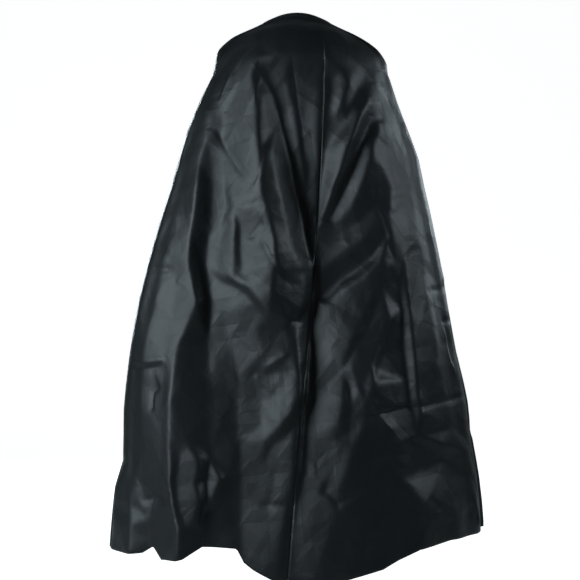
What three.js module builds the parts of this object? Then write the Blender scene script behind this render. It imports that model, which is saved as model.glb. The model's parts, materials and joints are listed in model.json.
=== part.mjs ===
// An adult superhero cape: two satin panels joined down the centre of the back, a binding
// round the neck, and a tab that closes it at the throat with hook and loop tape.
// It is shaped as it hangs on its wearer. Millimetres, +Z up, +Y the way the wearer faces,
// +X the wearer's right. The origin is the middle of the neckline, level with its back.
import * as THREE from "three";

// The wearer's neckline: half widths of the oval, and how far its sides and front lie below the back.
const NECK_HALF_WIDTH = 72;
const NECK_BACK = 62;
const NECK_FRONT = 58;
const NECK_SIDE_DROP = 12;
const NECK_FRONT_DROP = 62;

// Where the cloth turns from lying on the shoulders to hanging: reach from the middle, and drop.
const SHOULDER_SIDE = { reach: 186, drop: 69 };
const SHOULDER_BACK = { reach: 140, drop: 55 };
const SHOULDER_FRONT = { reach: 105, drop: 106 };

// The fall from there to the hem.
const CAPE_DROP = 1340;
const HEM_HALF_WIDTH = 455;
const HEM_BACK = 285;
const HEM_FRONT = 165;
const FLARE_SIDE = { reach: 455, share: 0.54 };
const FLARE_BACK = { reach: 200, share: 0.56 };
const FLARE_FRONT = { reach: 125, share: 0.52 };
const SHOULDER_LINE = 0.45; // share of the neck to shoulder line that is straight
const SHOULDER_ROUND = 0.075; // share of the fall that the shoulder's round takes

// The soft flutes that open towards the hem.
const FLUTES = 7;
const FLUTE_DEPTH = 24;
const FLUTE_START = 0.16; // share of the fall where they begin

// The seam down the back, and the front edges: angle from the middle of the wearer's back at the
// neck and at the hem. The cape hangs a little to the right of the neck, so the seam curves.
const SEAM_AT_NECK = THREE.MathUtils.degToRad(37);
const SEAM_AT_HEM = THREE.MathUtils.degToRad(-3);
const SEAM_CURVE = 0.35; // 1 would turn the seam evenly; less turns it soonest near the neck
const EDGE_AT_NECK = THREE.MathUtils.degToRad(164);
const EDGE_AT_HEM = THREE.MathUtils.degToRad(140);

// Cloth, turnings and sewing.
const CLOTH = 0.8; // thickness of a panel
const TURNING = 1.4; // what a turned edge adds to it inside
const HEM_WIDTH = 20;
const EDGE_WIDTH = 14;
const SEAM_WIDTH = 12;
const SEAM_GAP = 0.3;
const GAP = 0.3; // between pieces that touch
const THREAD_WIDTH = 0.8;
const THREAD_HEIGHT = 0.5;
const STITCH_IN = 3; // from a strap's or patch's edge to its stitching

const BINDING_WIDTH = 12;
const BINDING_CLOTH = 1.0;

// The closing tab, and the tape sewn to it and to the left panel.
const TAB_TOP = 18; // below the neck edge
const TAB_WIDTH = 30;
const TAB_CLOTH = 1.4;
const TAB_ROOT = 16; // on the right panel, from its front edge
const TAB_END = 34; // on the left panel, from its front edge
const TAPE = 1.2;
const TAPE_MARGIN = 4; // tab showing round the tape
const TAPE_IN = 2; // from the left panel's edge to the tape
const TAB_STEP = 6; // cells across the gap between the panels

// The size label, which hangs inside the back of the neck from the binding.
const LABEL_WIDTH = 42;
const LABEL_LENGTH = 52;
const LABEL_CLOTH = 0.6;
const LABEL_LAP = 0.6; // its sewn edge stays this far below the binding

const COLUMNS = 24; // cells between a panel's seam and its front edge
const ROWS = 28; // cells between the neck and the hem
const ROW_SPREAD = 1.5; // 1 would space the rows evenly; more crowds them towards the neck

// ---- The draped surface -----------------------------------------------------------------

// One line from the neck to the hem, in reach and height: straight over the shoulder, round it,
// then a long flare.
function meridian(neck, shoulder, flare, hemReach) {
  const start = new THREE.Vector2(neck.reach, -neck.drop);
  const corner = new THREE.Vector2(shoulder.reach, -shoulder.drop);
  const bell = new THREE.Vector2(flare.reach, -flare.share * CAPE_DROP);
  const hem = new THREE.Vector2(hemReach, -CAPE_DROP);
  const onShoulder = start.clone().lerp(corner, SHOULDER_LINE);
  const belowShoulder = corner.clone().lerp(bell, SHOULDER_ROUND);
  const path = new THREE.CurvePath();
  path.add(new THREE.LineCurve(start, onShoulder));
  path.add(new THREE.QuadraticBezierCurve(onShoulder, corner, belowShoulder));
  path.add(new THREE.QuadraticBezierCurve(belowShoulder, bell, hem));
  const steps = 600;
  const points = path.getSpacedPoints(steps);
  return {
    length: path.getLength(),
    at(share) {
      const place = THREE.MathUtils.clamp(share, 0, 1) * steps;
      const low = Math.min(Math.floor(place), steps - 1);
      return points[low].clone().lerp(points[low + 1], place - low);
    },
  };
}

const SIDE = meridian({ reach: NECK_HALF_WIDTH, drop: NECK_SIDE_DROP }, SHOULDER_SIDE, FLARE_SIDE, HEM_HALF_WIDTH);
const BACK = meridian({ reach: NECK_BACK, drop: 0 }, SHOULDER_BACK, FLARE_BACK, HEM_BACK);
const FRONT = meridian({ reach: NECK_FRONT, drop: NECK_FRONT_DROP }, SHOULDER_FRONT, FLARE_FRONT, HEM_FRONT);

// The cloth's outer face. angle runs from the centre back towards the wearer's right,
// and share from the neck edge to the hem.
function drape(angle, share) {
  const side = SIDE.at(share);
  const end = Math.cos(angle) > 0 ? BACK.at(share) : FRONT.at(share);
  const towardEnd = Math.cos(angle) ** 2;
  const opening = THREE.MathUtils.smoothstep(share, FLUTE_START, 1);
  const flute = -FLUTE_DEPTH * opening * Math.cos(FLUTES * angle);
  return new THREE.Vector3(
    (side.x + flute) * Math.sin(angle),
    -(end.x + flute) * Math.cos(angle),
    THREE.MathUtils.lerp(side.y, end.y, towardEnd),
  );
}

const NUDGE = 1e-3;

// How many millimetres one radian round, or one whole share down, is worth at a place.
function reachPerTurn(angle, share) {
  return drape(angle + NUDGE, share).distanceTo(drape(angle - NUDGE, share)) / (2 * NUDGE);
}
function reachPerShare(angle) {
  return drape(angle, NUDGE).distanceTo(drape(angle, 0)) / NUDGE;
}

function outward(angle, share) {
  const low = Math.max(share, NUDGE);
  const round = drape(angle + NUDGE, low).sub(drape(angle - NUDGE, low));
  const down = drape(angle, low + NUDGE).sub(drape(angle, low - NUDGE));
  return down.cross(round).normalize();
}

// A point this far off the outer face, outwards if lift is positive.
function lifted(angle, share, lift) {
  return drape(angle, share).addScaledVector(outward(angle, share), lift);
}

// A point down millimetres below the neck edge, or above it if down is negative.
function nearNeck(angle, down, lift) {
  const share = down / reachPerShare(angle);
  if (share >= 0) return lifted(angle, share, lift);
  const above = drape(angle, 0).sub(drape(angle, NUDGE)).normalize();
  return lifted(angle, 0, lift).addScaledVector(above, -down);
}

// ---- The grid that the pieces share -----------------------------------------------------

const BINDING_SHARE = BINDING_WIDTH / BACK.length;
const HEM_SHARE = 1 - HEM_WIDTH / BACK.length;

function edgeAngle(share) {
  return THREE.MathUtils.lerp(EDGE_AT_NECK, EDGE_AT_HEM, share);
}
function seamAngle(share) {
  const belowBinding = Math.max(share - BINDING_SHARE, 0) / (1 - BINDING_SHARE);
  return THREE.MathUtils.lerp(SEAM_AT_NECK, SEAM_AT_HEM, belowBinding ** SEAM_CURVE);
}

// Column k of the left (side -1) or right (side 1) panel, as an angle: the seam, the end of its
// turning, even columns, the start of the front turning and the front edge.
function columnAngle(side, k, share) {
  const edge = side * edgeAngle(share);
  const seam = seamAngle(share);
  if (k === 0) return seam + (side * SEAM_GAP) / 2 / reachPerTurn(seam, share);
  if (k === COLUMNS) return edge;
  const first = seam + (side * SEAM_WIDTH) / reachPerTurn(seam, share);
  const last = edge - (side * EDGE_WIDTH) / reachPerTurn(edge, share);
  return THREE.MathUtils.lerp(first, last, (k - 1) / (COLUMNS - 2));
}

// Every column round the neck, from the left front edge to the right one.
function neckAngles() {
  const left = range(COLUMNS + 1).map((k) => columnAngle(-1, COLUMNS - k, 0));
  const right = range(COLUMNS + 1).map((k) => columnAngle(1, k, 0));
  return [...left, ...right];
}

// Row shares: the neck edge, the binding's edge, rows that spread towards the hem, the hem's turning.
function rowShare(row) {
  if (row === 0) return 0;
  if (row === ROWS) return 1;
  const t = (row - 1) / (ROWS - 2);
  return THREE.MathUtils.lerp(BINDING_SHARE, HEM_SHARE, t ** ROW_SPREAD);
}

// ---- Solids -----------------------------------------------------------------------------

// A closed solid between two grids of points, each an array of rows: the outer grid faces out.
function solidBetween(outer, inner) {
  const rows = outer.length;
  const columns = outer[0].length;
  const points = [...outer.flat(), ...inner.flat()];
  const triangles = [];
  const top = (r, c) => r * columns + c;
  const under = (r, c) => rows * columns + r * columns + c;
  const quad = (a, b, c, d) => triangles.push(a, b, c, a, c, d);
  for (let r = 0; r + 1 < rows; r++) {
    for (let c = 0; c + 1 < columns; c++) {
      quad(top(r, c), top(r + 1, c), top(r + 1, c + 1), top(r, c + 1));
      quad(under(r, c), under(r, c + 1), under(r + 1, c + 1), under(r + 1, c));
    }
    quad(top(r, 0), under(r, 0), under(r + 1, 0), top(r + 1, 0));
    const end = columns - 1;
    quad(top(r, end), top(r + 1, end), under(r + 1, end), under(r, end));
  }
  for (let c = 0; c + 1 < columns; c++) {
    quad(top(0, c), top(0, c + 1), under(0, c + 1), under(0, c));
    const end = rows - 1;
    quad(top(end, c), under(end, c), under(end, c + 1), top(end, c + 1));
  }
  return geometryOf(points, triangles);
}

// A closed solid swept through a row of closed outlines. The cap is the end outline's triangles.
function solidThrough(outlines, cap) {
  const n = outlines[0].length;
  const points = outlines.flat();
  const triangles = [];
  for (let s = 0; s + 1 < outlines.length; s++) {
    for (let i = 0; i < n; i++) {
      const a = s * n + i;
      const b = s * n + ((i + 1) % n);
      triangles.push(a, b, b + n, a, b + n, a + n);
    }
  }
  const end = (outlines.length - 1) * n;
  for (const [a, b, c] of cap) {
    triangles.push(a, c, b);
    triangles.push(end + a, end + b, end + c);
  }
  return geometryOf(points, triangles);
}

function geometryOf(points, triangles) {
  const geometry = new THREE.BufferGeometry().setFromPoints(points);
  geometry.setIndex(triangles);
  if (volumeOf(points, triangles) < 0) {
    for (let i = 0; i < triangles.length; i += 3) {
      [triangles[i + 1], triangles[i + 2]] = [triangles[i + 2], triangles[i + 1]];
    }
    geometry.setIndex(triangles);
  }
  geometry.computeVertexNormals();
  return geometry;
}

function volumeOf(points, triangles) {
  let six = 0;
  for (let i = 0; i < triangles.length; i += 3) {
    const [a, b, c] = [0, 1, 2].map((k) => points[triangles[i + k]]);
    six += a.dot(b.clone().cross(c));
  }
  return six / 6;
}

// A sheet of cloth or tape: places are rows of [angle, share], and each lift is a height off the
// outer face, or a function of row and column.
function strip(places, low, high) {
  const at = (lift) => places.map((row, r) =>
    row.map(([angle, share], c) => lifted(angle, share, typeof lift === "function" ? lift(r, c) : lift)));
  return solidBetween(at(high), at(low));
}

const range = (count) => [...Array(count).keys()];

// ---- The pieces -------------------------------------------------------------------------

// One panel of the cape. Its turnings at the seam, the front edge and the hem thicken it inside.
function panel(side) {
  const turned = (row, column) => row === ROWS || column === 0 || column === COLUMNS;
  const starts = (row, column) => row === ROWS - 1 || column === 1 || column === COLUMNS - 1;
  const places = range(ROWS + 1).map((row) =>
    range(COLUMNS + 1).map((column) => [columnAngle(side, column, rowShare(row)), rowShare(row)]));
  const inside = (row, column) => {
    const onBinding = row <= 1;
    const thick = !onBinding && (turned(row, column) || starts(row, column));
    return -CLOTH - (thick ? TURNING : 0);
  };
  return strip(places, inside, 0);
}

// The binding folds over the neck edge: a leg outside, a leg inside, and the fold between them.
function binding() {
  const outside = GAP + BINDING_CLOTH;
  const inside = -CLOTH - GAP - BINDING_CLOTH;
  const over = -GAP - BINDING_CLOTH;
  const outline = [
    [BINDING_WIDTH, outside], [over, outside], [over, inside], [BINDING_WIDTH, inside],
    [BINDING_WIDTH, -CLOTH - GAP], [-GAP, -CLOTH - GAP], [-GAP, GAP], [BINDING_WIDTH, GAP],
  ];
  const outlines = neckAngles().map((angle) => outline.map(([down, lift]) => nearNeck(angle, down, lift)));
  const cap = [[0, 1, 6], [0, 6, 7], [1, 2, 5], [1, 5, 6], [2, 3, 4], [2, 4, 5]];
  return solidThrough(outlines, cap);
}

// A row of stitching along the binding, a short way in from its edge.
function bindingThread() {
  const lift = GAP + BINDING_CLOTH + GAP;
  const down = BINDING_WIDTH - STITCH_IN;
  const line = (offset, height) => neckAngles().map((angle) => nearNeck(angle, down + offset, height));
  return solidBetween(
    [line(0, lift + THREAD_HEIGHT), line(THREAD_WIDTH, lift + THREAD_HEIGHT)],
    [line(0, lift), line(THREAD_WIDTH, lift)],
  );
}

// The hem's stitching, from the seam's turning to the front turning of one panel.
function hemThread(side) {
  const share = HEM_SHARE;
  const width = THREAD_WIDTH / BACK.length;
  const columns = range(COLUMNS - 1).map((k) => k + 1);
  const places = [share, share + width].map((s) => columns.map((k) => [columnAngle(side, k, s), s]));
  return strip(places, GAP, GAP + THREAD_HEIGHT);
}

// The front edge's stitching on one panel, from below the tab to the hem.
function edgeThread(side) {
  const rows = range(ROWS).filter((row) => rowShare(row) * FRONT.length > TAB_TOP + TAB_WIDTH);
  const places = rows.map((row) => {
    const share = rowShare(row);
    const angle = columnAngle(side, COLUMNS - 1, share);
    const width = (side * THREAD_WIDTH) / reachPerTurn(angle, share);
    return [[angle + width, share], [angle + 2 * width, share]];
  });
  return strip(places, GAP, GAP + THREAD_HEIGHT);
}

// The thread that joins the two panels lies inside the seam, over both turnings.
function seamThread() {
  const rows = range(ROWS).filter((row) => row > 1);
  const places = rows.map((row) => {
    const share = rowShare(row);
    const seam = seamAngle(share);
    const half = THREAD_WIDTH / reachPerTurn(seam, share);
    return [[seam - half, share], [seam + half, share]];
  });
  const top = -CLOTH - TURNING - GAP;
  return strip(places, top - THREAD_HEIGHT, top);
}

// Places on the tab: rows down it, and columns from its root on the right panel, over the gap,
// to its free end on the left panel. Columns are [how far from the right panel's edge, or
// from the left panel's edge], so a piece under the tab shares its facets.
const TAB_FRACTIONS = [0, STITCH_IN / TAB_WIDTH, TAPE_MARGIN / TAB_WIDTH, 0.5, 1 - TAPE_MARGIN / TAB_WIDTH, 1];

function tabShares(first, last) {
  return TAB_FRACTIONS.slice(first, last + 1).map((f) => (TAB_TOP + f * TAB_WIDTH) / FRONT.length);
}

function onRight(inFromEdge, share) {
  return edgeAngle(share) - inFromEdge / reachPerTurn(edgeAngle(share), share);
}
function onLeft(inFromEdge, share) {
  return 2 * Math.PI - onRight(inFromEdge, share);
}

const LEFT_COLUMNS = [TAPE_IN, TAB_END / 3, (2 * TAB_END) / 3, TAB_END - TAPE_MARGIN, TAB_END];
const RIGHT_COLUMNS = [TAB_ROOT, TAB_ROOT - STITCH_IN, TAB_ROOT / 2, 0];

// What lies between the panel and the tab where it closes: the loop tape, then the hook tape.
const LOOP_TOP = GAP + TAPE;
const HOOK_TOP = LOOP_TOP + GAP + TAPE;
const TAB_OVER_TAPE = HOOK_TOP + GAP;

function tab() {
  const columns = (share) => [
    ...RIGHT_COLUMNS.map((inFromEdge) => onRight(inFromEdge, share)),
    ...range(TAB_STEP - 1).map((k) =>
      THREE.MathUtils.lerp(onRight(0, share), onLeft(0, share), (k + 1) / TAB_STEP)),
    ...[0, ...LEFT_COLUMNS].map((inFromEdge) => onLeft(inFromEdge, share)),
  ];
  const places = tabShares(0, 5).map((share) => columns(share).map((angle) => [angle, share]));
  const rising = TAB_STEP + RIGHT_COLUMNS.length - 1;
  const under = (row, column) =>
    THREE.MathUtils.lerp(GAP, TAB_OVER_TAPE, THREE.MathUtils.smoothstep(column, RIGHT_COLUMNS.length - 1, rising));
  return strip(places, under, (row, column) => under(row, column) + TAB_CLOTH);
}

// Hook or loop tape between two heights over the left panel.
function tape(low, high) {
  const places = tabShares(2, 4).map((share) =>
    LEFT_COLUMNS.slice(0, -1).map((inFromEdge) => [onLeft(inFromEdge, share), share]));
  return strip(places, low, high);
}

// The stitching across the tab's root.
function rootThread() {
  const places = tabShares(1, 4).map((share) => {
    const angle = onRight(TAB_ROOT - STITCH_IN, share);
    return [[angle, share], [angle + THREAD_WIDTH / reachPerTurn(angle, share), share]];
  });
  const low = GAP + TAB_CLOTH + GAP;
  return strip(places, low, low + THREAD_HEIGHT);
}

// The label is flat and hangs straight down from its sewn top edge, whose two corners meet
// the curve of the neck.
function labelTop() {
  const corner = Math.asin(LABEL_WIDTH / 2 / (NECK_HALF_WIDTH + BINDING_WIDTH));
  const inside = -CLOTH - GAP - BINDING_CLOTH - GAP - LABEL_CLOTH / 2;
  return nearNeck(corner, BINDING_WIDTH + LABEL_LAP, inside).setX(0);
}

function label() {
  const plate = new THREE.BoxGeometry(LABEL_WIDTH, LABEL_CLOTH, LABEL_LENGTH);
  plate.translate(0, 0, -LABEL_LENGTH / 2);
  return plate;
}

// ---- The assembly -----------------------------------------------------------------------

const satin = new THREE.MeshStandardMaterial({ color: 0x14181a, roughness: 0.42, metalness: 0 });
const bindingSatin = new THREE.MeshStandardMaterial({ color: 0x121517, roughness: 0.45, metalness: 0 });
const thread = new THREE.MeshStandardMaterial({ color: 0x0c0e0f, roughness: 0.6, metalness: 0 });
const hookNylon = new THREE.MeshStandardMaterial({ color: 0x0a0a0b, roughness: 0.5, metalness: 0 });
const loopPile = new THREE.MeshStandardMaterial({ color: 0x0d0d0e, roughness: 0.95, metalness: 0 });
const labelRibbon = new THREE.MeshStandardMaterial({ color: 0xd9d9d4, roughness: 0.7, metalness: 0 });

const cape = new THREE.Group();

function add(name, geometry, material) {
  const mesh = new THREE.Mesh(geometry, material);
  mesh.name = name;
  cape.add(mesh);
  return mesh;
}

add("left_panel", panel(-1), satin);
add("right_panel", panel(1), satin);
add("neck_binding", binding(), bindingSatin);
add("closing_tab", tab(), bindingSatin);
add("loop_tape", tape(GAP, LOOP_TOP), loopPile);
add("hook_tape", tape(LOOP_TOP + GAP, HOOK_TOP), hookNylon);
add("centre_seam_thread", seamThread(), thread);
add("left_hem_thread", hemThread(-1), thread);
add("right_hem_thread", hemThread(1), thread);
add("left_edge_thread", edgeThread(-1), thread);
add("right_edge_thread", edgeThread(1), thread);
add("binding_thread", bindingThread(), thread);
add("tab_root_thread", rootThread(), thread);
add("size_label", label(), labelRibbon).position.copy(labelTop());

export default cape;
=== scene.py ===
"""A black satin superhero cape, hanging as it is worn and seen from behind.

Metres, +Z up, +Y the way the wearer faces, +X the wearer's right. Every piece is a surface over
two numbers: an angle round the wearer from the centre back, and a share of the way from the neck
edge to the hem. The drape gives its broad form, flat facets between crease lines give the back its
large planes, and folds and small crumples are pressed into it one by one.
"""
import json
import math

import bpy
import numpy as np
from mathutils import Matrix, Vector
from mathutils.geometry import delaunay_2d_cdt

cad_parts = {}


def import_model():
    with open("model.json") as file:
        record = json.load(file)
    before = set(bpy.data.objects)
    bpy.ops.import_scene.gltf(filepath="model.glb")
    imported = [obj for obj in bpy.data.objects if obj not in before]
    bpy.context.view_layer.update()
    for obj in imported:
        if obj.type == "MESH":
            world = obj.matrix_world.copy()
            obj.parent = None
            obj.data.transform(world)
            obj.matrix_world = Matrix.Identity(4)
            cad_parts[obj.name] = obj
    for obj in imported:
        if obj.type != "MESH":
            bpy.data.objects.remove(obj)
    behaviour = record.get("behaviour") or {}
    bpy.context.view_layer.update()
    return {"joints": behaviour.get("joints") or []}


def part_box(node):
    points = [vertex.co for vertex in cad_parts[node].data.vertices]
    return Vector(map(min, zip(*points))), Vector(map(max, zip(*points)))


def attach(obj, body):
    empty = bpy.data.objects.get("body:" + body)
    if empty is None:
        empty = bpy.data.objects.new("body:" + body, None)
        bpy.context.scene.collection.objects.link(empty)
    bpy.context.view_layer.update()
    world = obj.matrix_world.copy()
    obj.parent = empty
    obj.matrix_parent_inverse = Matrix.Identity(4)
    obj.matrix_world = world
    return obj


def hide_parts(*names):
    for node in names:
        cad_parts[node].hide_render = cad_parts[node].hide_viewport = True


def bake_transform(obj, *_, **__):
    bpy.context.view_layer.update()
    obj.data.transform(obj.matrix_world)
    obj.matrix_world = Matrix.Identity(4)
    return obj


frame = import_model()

# ---- Sizes ------------------------------------------------------------------------------

# The cape's own sizes, which the frame doesn't hold: its neckline's oval, fall and gaps.
GAP = 0.0003  # between pieces that touch
CAPE_DROP = 1.340
NECK_HALF_WIDTH = 0.072
NECK_BACK = 0.062
NECK_FRONT = 0.058
NECK_SIDE_DROP = 0.012
NECK_FRONT_DROP = 0.062

# Where the cloth turns from lying on the shoulders to hanging, as (reach, drop).
SHOULDER_SIDE = (0.186, 0.069)
SHOULDER_BACK = (0.140, 0.055)
SHOULDER_FRONT = (0.105, 0.106)
SHOULDER_LINE = 0.45  # share of the neck to shoulder line that is straight
SHOULDER_ROUND = 0.075  # share of the fall that the shoulder's round takes

# The flare below, as (reach at the bell, share of the drop where it is, reach at the hem).
FLARE_SIDE = (0.455, 0.54, 0.455)
FLARE_BACK = (0.200, 0.56, 0.285)
FLARE_FRONT = (0.125, 0.52, 0.165)

FRONT_FLUTES = 7
FRONT_FLUTE_DEPTH = 0.024
FLUTE_START = 0.16  # share of the fall where the flutes begin
FLUTE_TURN = 0.4  # how far to the front, as -cos(angle), they reach their full depth

# The seam down the back and the front edges, as angles at the neck and at the hem.
SEAM_AT_NECK = math.radians(37)
SEAM_AT_HEM = math.radians(-3)
SEAM_CURVE = 0.35
EDGE_AT_NECK = math.radians(164)
EDGE_AT_HEM = math.radians(140)

SATIN = 0.0004  # thickness of the cloth
HEM_WIDTH = 0.020
EDGE_WIDTH = 0.014
SEAM_WIDTH = 0.012
BINDING_WIDTH = 0.012
BINDING_CLOTH = 0.0009
STITCH_IN = 0.003  # from an edge to its row of stitches

# The tab that closes the neck, and the hook and loop tape under it.
TAB_TOP = 0.018  # below the neck edge
TAB_WIDTH = 0.030
TAB_CLOTH = 0.0014
TAB_ROOT = 0.016  # on the right panel, from its front edge
TAB_END = 0.034  # on the left panel, from its front edge
TAPE = 0.0012
TAPE_MARGIN = 0.004
TAPE_IN = 0.002
LOOP_BASE = 0.0005

# ---- The draped surface -----------------------------------------------------------------


def smoothstep(value, low, high):
    """0 below low, 1 above high, and 3t^2 - 2t^3 between them."""
    t = np.clip((value - low) / (high - low), 0, 1)
    return t * t * (3 - 2 * t)


def unit(vectors):
    """The same directions, each with a length of 1."""
    return vectors / np.linalg.norm(vectors, axis=-1, keepdims=True)


def run_along(line):
    """How far along a line each of its points lies."""
    return np.concatenate([[0], np.cumsum(np.linalg.norm(np.diff(line, axis=0), axis=1))])


MERIDIAN_STEPS = 400


def meridian(neck, shoulder, flare):
    """One line from the neck to the hem in reach and height, by its length.

    A straight line to part of the way to the shoulder, a quadratic Bezier curve round the
    shoulder's corner, and another with its corner at the bell of the flare.
    """
    reach_at_bell, bell_share, reach_at_hem = flare
    start, corner = np.array([neck, shoulder], float) * (1, -1)
    bell = np.array([reach_at_bell, -bell_share * CAPE_DROP])
    hem = np.array([reach_at_hem, -CAPE_DROP])
    on_shoulder = start + (corner - start) * SHOULDER_LINE
    below_shoulder = corner + (bell - corner) * SHOULDER_ROUND
    t = np.linspace(0, 1, MERIDIAN_STEPS)[:, None]

    def curve(a, b, c):
        return a * (1 - t) ** 2 + b * 2 * t * (1 - t) + c * t**2

    line = start + (on_shoulder - start) * t
    points = np.vstack([line, curve(on_shoulder, corner, below_shoulder)[1:],
                        curve(below_shoulder, bell, hem)[1:]])
    run = run_along(points)
    return run / run[-1], points, run[-1]


SIDE = meridian((NECK_HALF_WIDTH, NECK_SIDE_DROP), SHOULDER_SIDE, FLARE_SIDE)
BACK = meridian((NECK_BACK, 0), SHOULDER_BACK, FLARE_BACK)
FRONT = meridian((NECK_FRONT, NECK_FRONT_DROP), SHOULDER_FRONT, FLARE_FRONT)


def along(line, share):
    """Reach and height at a share of the way down a meridian."""
    shares, points, _ = line
    return np.interp(share, shares, points[:, 0]), np.interp(share, shares, points[:, 1])


def drape(angle, share):
    """The cape's broad form: an oval at each level, between the side, back and front meridians.

    x = side reach * sin(angle), y = -(back or front reach) * cos(angle), and the height goes
    from the side's to the back's or front's with cos^2(angle). The front has shallow flutes.
    """
    side_reach, side_height = along(SIDE, share)
    behind = np.cos(angle) > 0
    back_reach, back_height = along(BACK, share)
    front_reach, front_height = along(FRONT, share)
    end_reach = np.where(behind, back_reach, front_reach)
    end_height = np.where(behind, back_height, front_height)
    opening = smoothstep(share, FLUTE_START, 1) * smoothstep(-np.cos(angle), 0, FLUTE_TURN)
    flute = -FRONT_FLUTE_DEPTH * opening * np.cos(FRONT_FLUTES * angle)
    height = side_height + (end_height - side_height) * np.cos(angle) ** 2
    return np.stack([(side_reach + flute) * np.sin(angle),
                     -(end_reach + flute) * np.cos(angle), height], axis=-1)


# How much the hem is lifted at the back, as (x, metres).
HEM_LIFT = [(-0.46, 0.03), (-0.37, 0.035), (-0.345, 0.05), (-0.325, 0.02), (-0.27, 0.03), (-0.226, 0.054),
            (-0.145, 0.047), (-0.128, 0.015), (-0.106, 0), (-0.06, -0.02), (0.1, -0.02), (0.167, 0),
            (0.2, 0.01), (0.238, 0.033), (0.286, 0.056), (0.363, 0.07), (0.46, 0.07)]
HEM_LIFT_START = 0.6  # share of the fall where the lift begins
HEM_LIFT_TURNS = (98, 138)  # degrees round, where the lift fades out

# How far each side stands wider than the plain drape, as (height, left, right).
SIDE_EASE = [(0, 0, 0), (-0.05, 0.016, 0.012), (-0.08, 0.014, 0.02), (-0.115, 0, 0.02),
             (-0.142, -0.005, 0.012), (-0.21, 0.002, 0.008), (-0.28, 0.007, 0.009),
             (-0.35, 0.002, 0.011), (-0.42, 0, 0.003),
             (-0.56, 0.004, -0.006), (-0.7, 0.007, -0.014), (-0.84, 0.004, -0.016), (-0.98, -0.002, -0.012),
             (-1.05, -0.009, -0.014), (-1.12, -0.014, -0.01), (-1.19, 0.002, -0.005), (-1.34, 0.012, 0.002)]


def eased(angle, share):
    """The drape with each side eased out or in by sin^4(angle), and the hem lifted."""
    place = drape(angle, share)
    heights, left, right = np.array(SIDE_EASE)[::-1].T
    z = place[..., 2]
    ease = np.where(angle < 0, -np.interp(z, heights, left), np.interp(z, heights, right))
    place[..., 0] += ease * np.sin(angle) ** 4
    lift = np.interp(place[..., 0], *zip(*HEM_LIFT))
    at_back = 1 - smoothstep(np.abs(np.degrees(angle)), *HEM_LIFT_TURNS)
    place[..., 2] += lift * smoothstep(share, HEM_LIFT_START, 1) * at_back
    return place


def blur(table, sigma, axis):
    """A table smoothed along one axis with a bell curve sigma cells wide."""
    reach = int(3 * sigma) + 1
    bell = np.exp(-0.5 * (np.arange(-reach, reach + 1) / sigma) ** 2)
    bell /= bell.sum()
    pad = [(0, 0), (0, 0)]
    pad[axis] = (reach, reach)
    padded = np.pad(table, pad, mode="edge")
    return np.apply_along_axis(lambda row: np.convolve(row, bell, mode="valid"), axis, padded)


# ---- The facets of the back -------------------------------------------------------------

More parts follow.
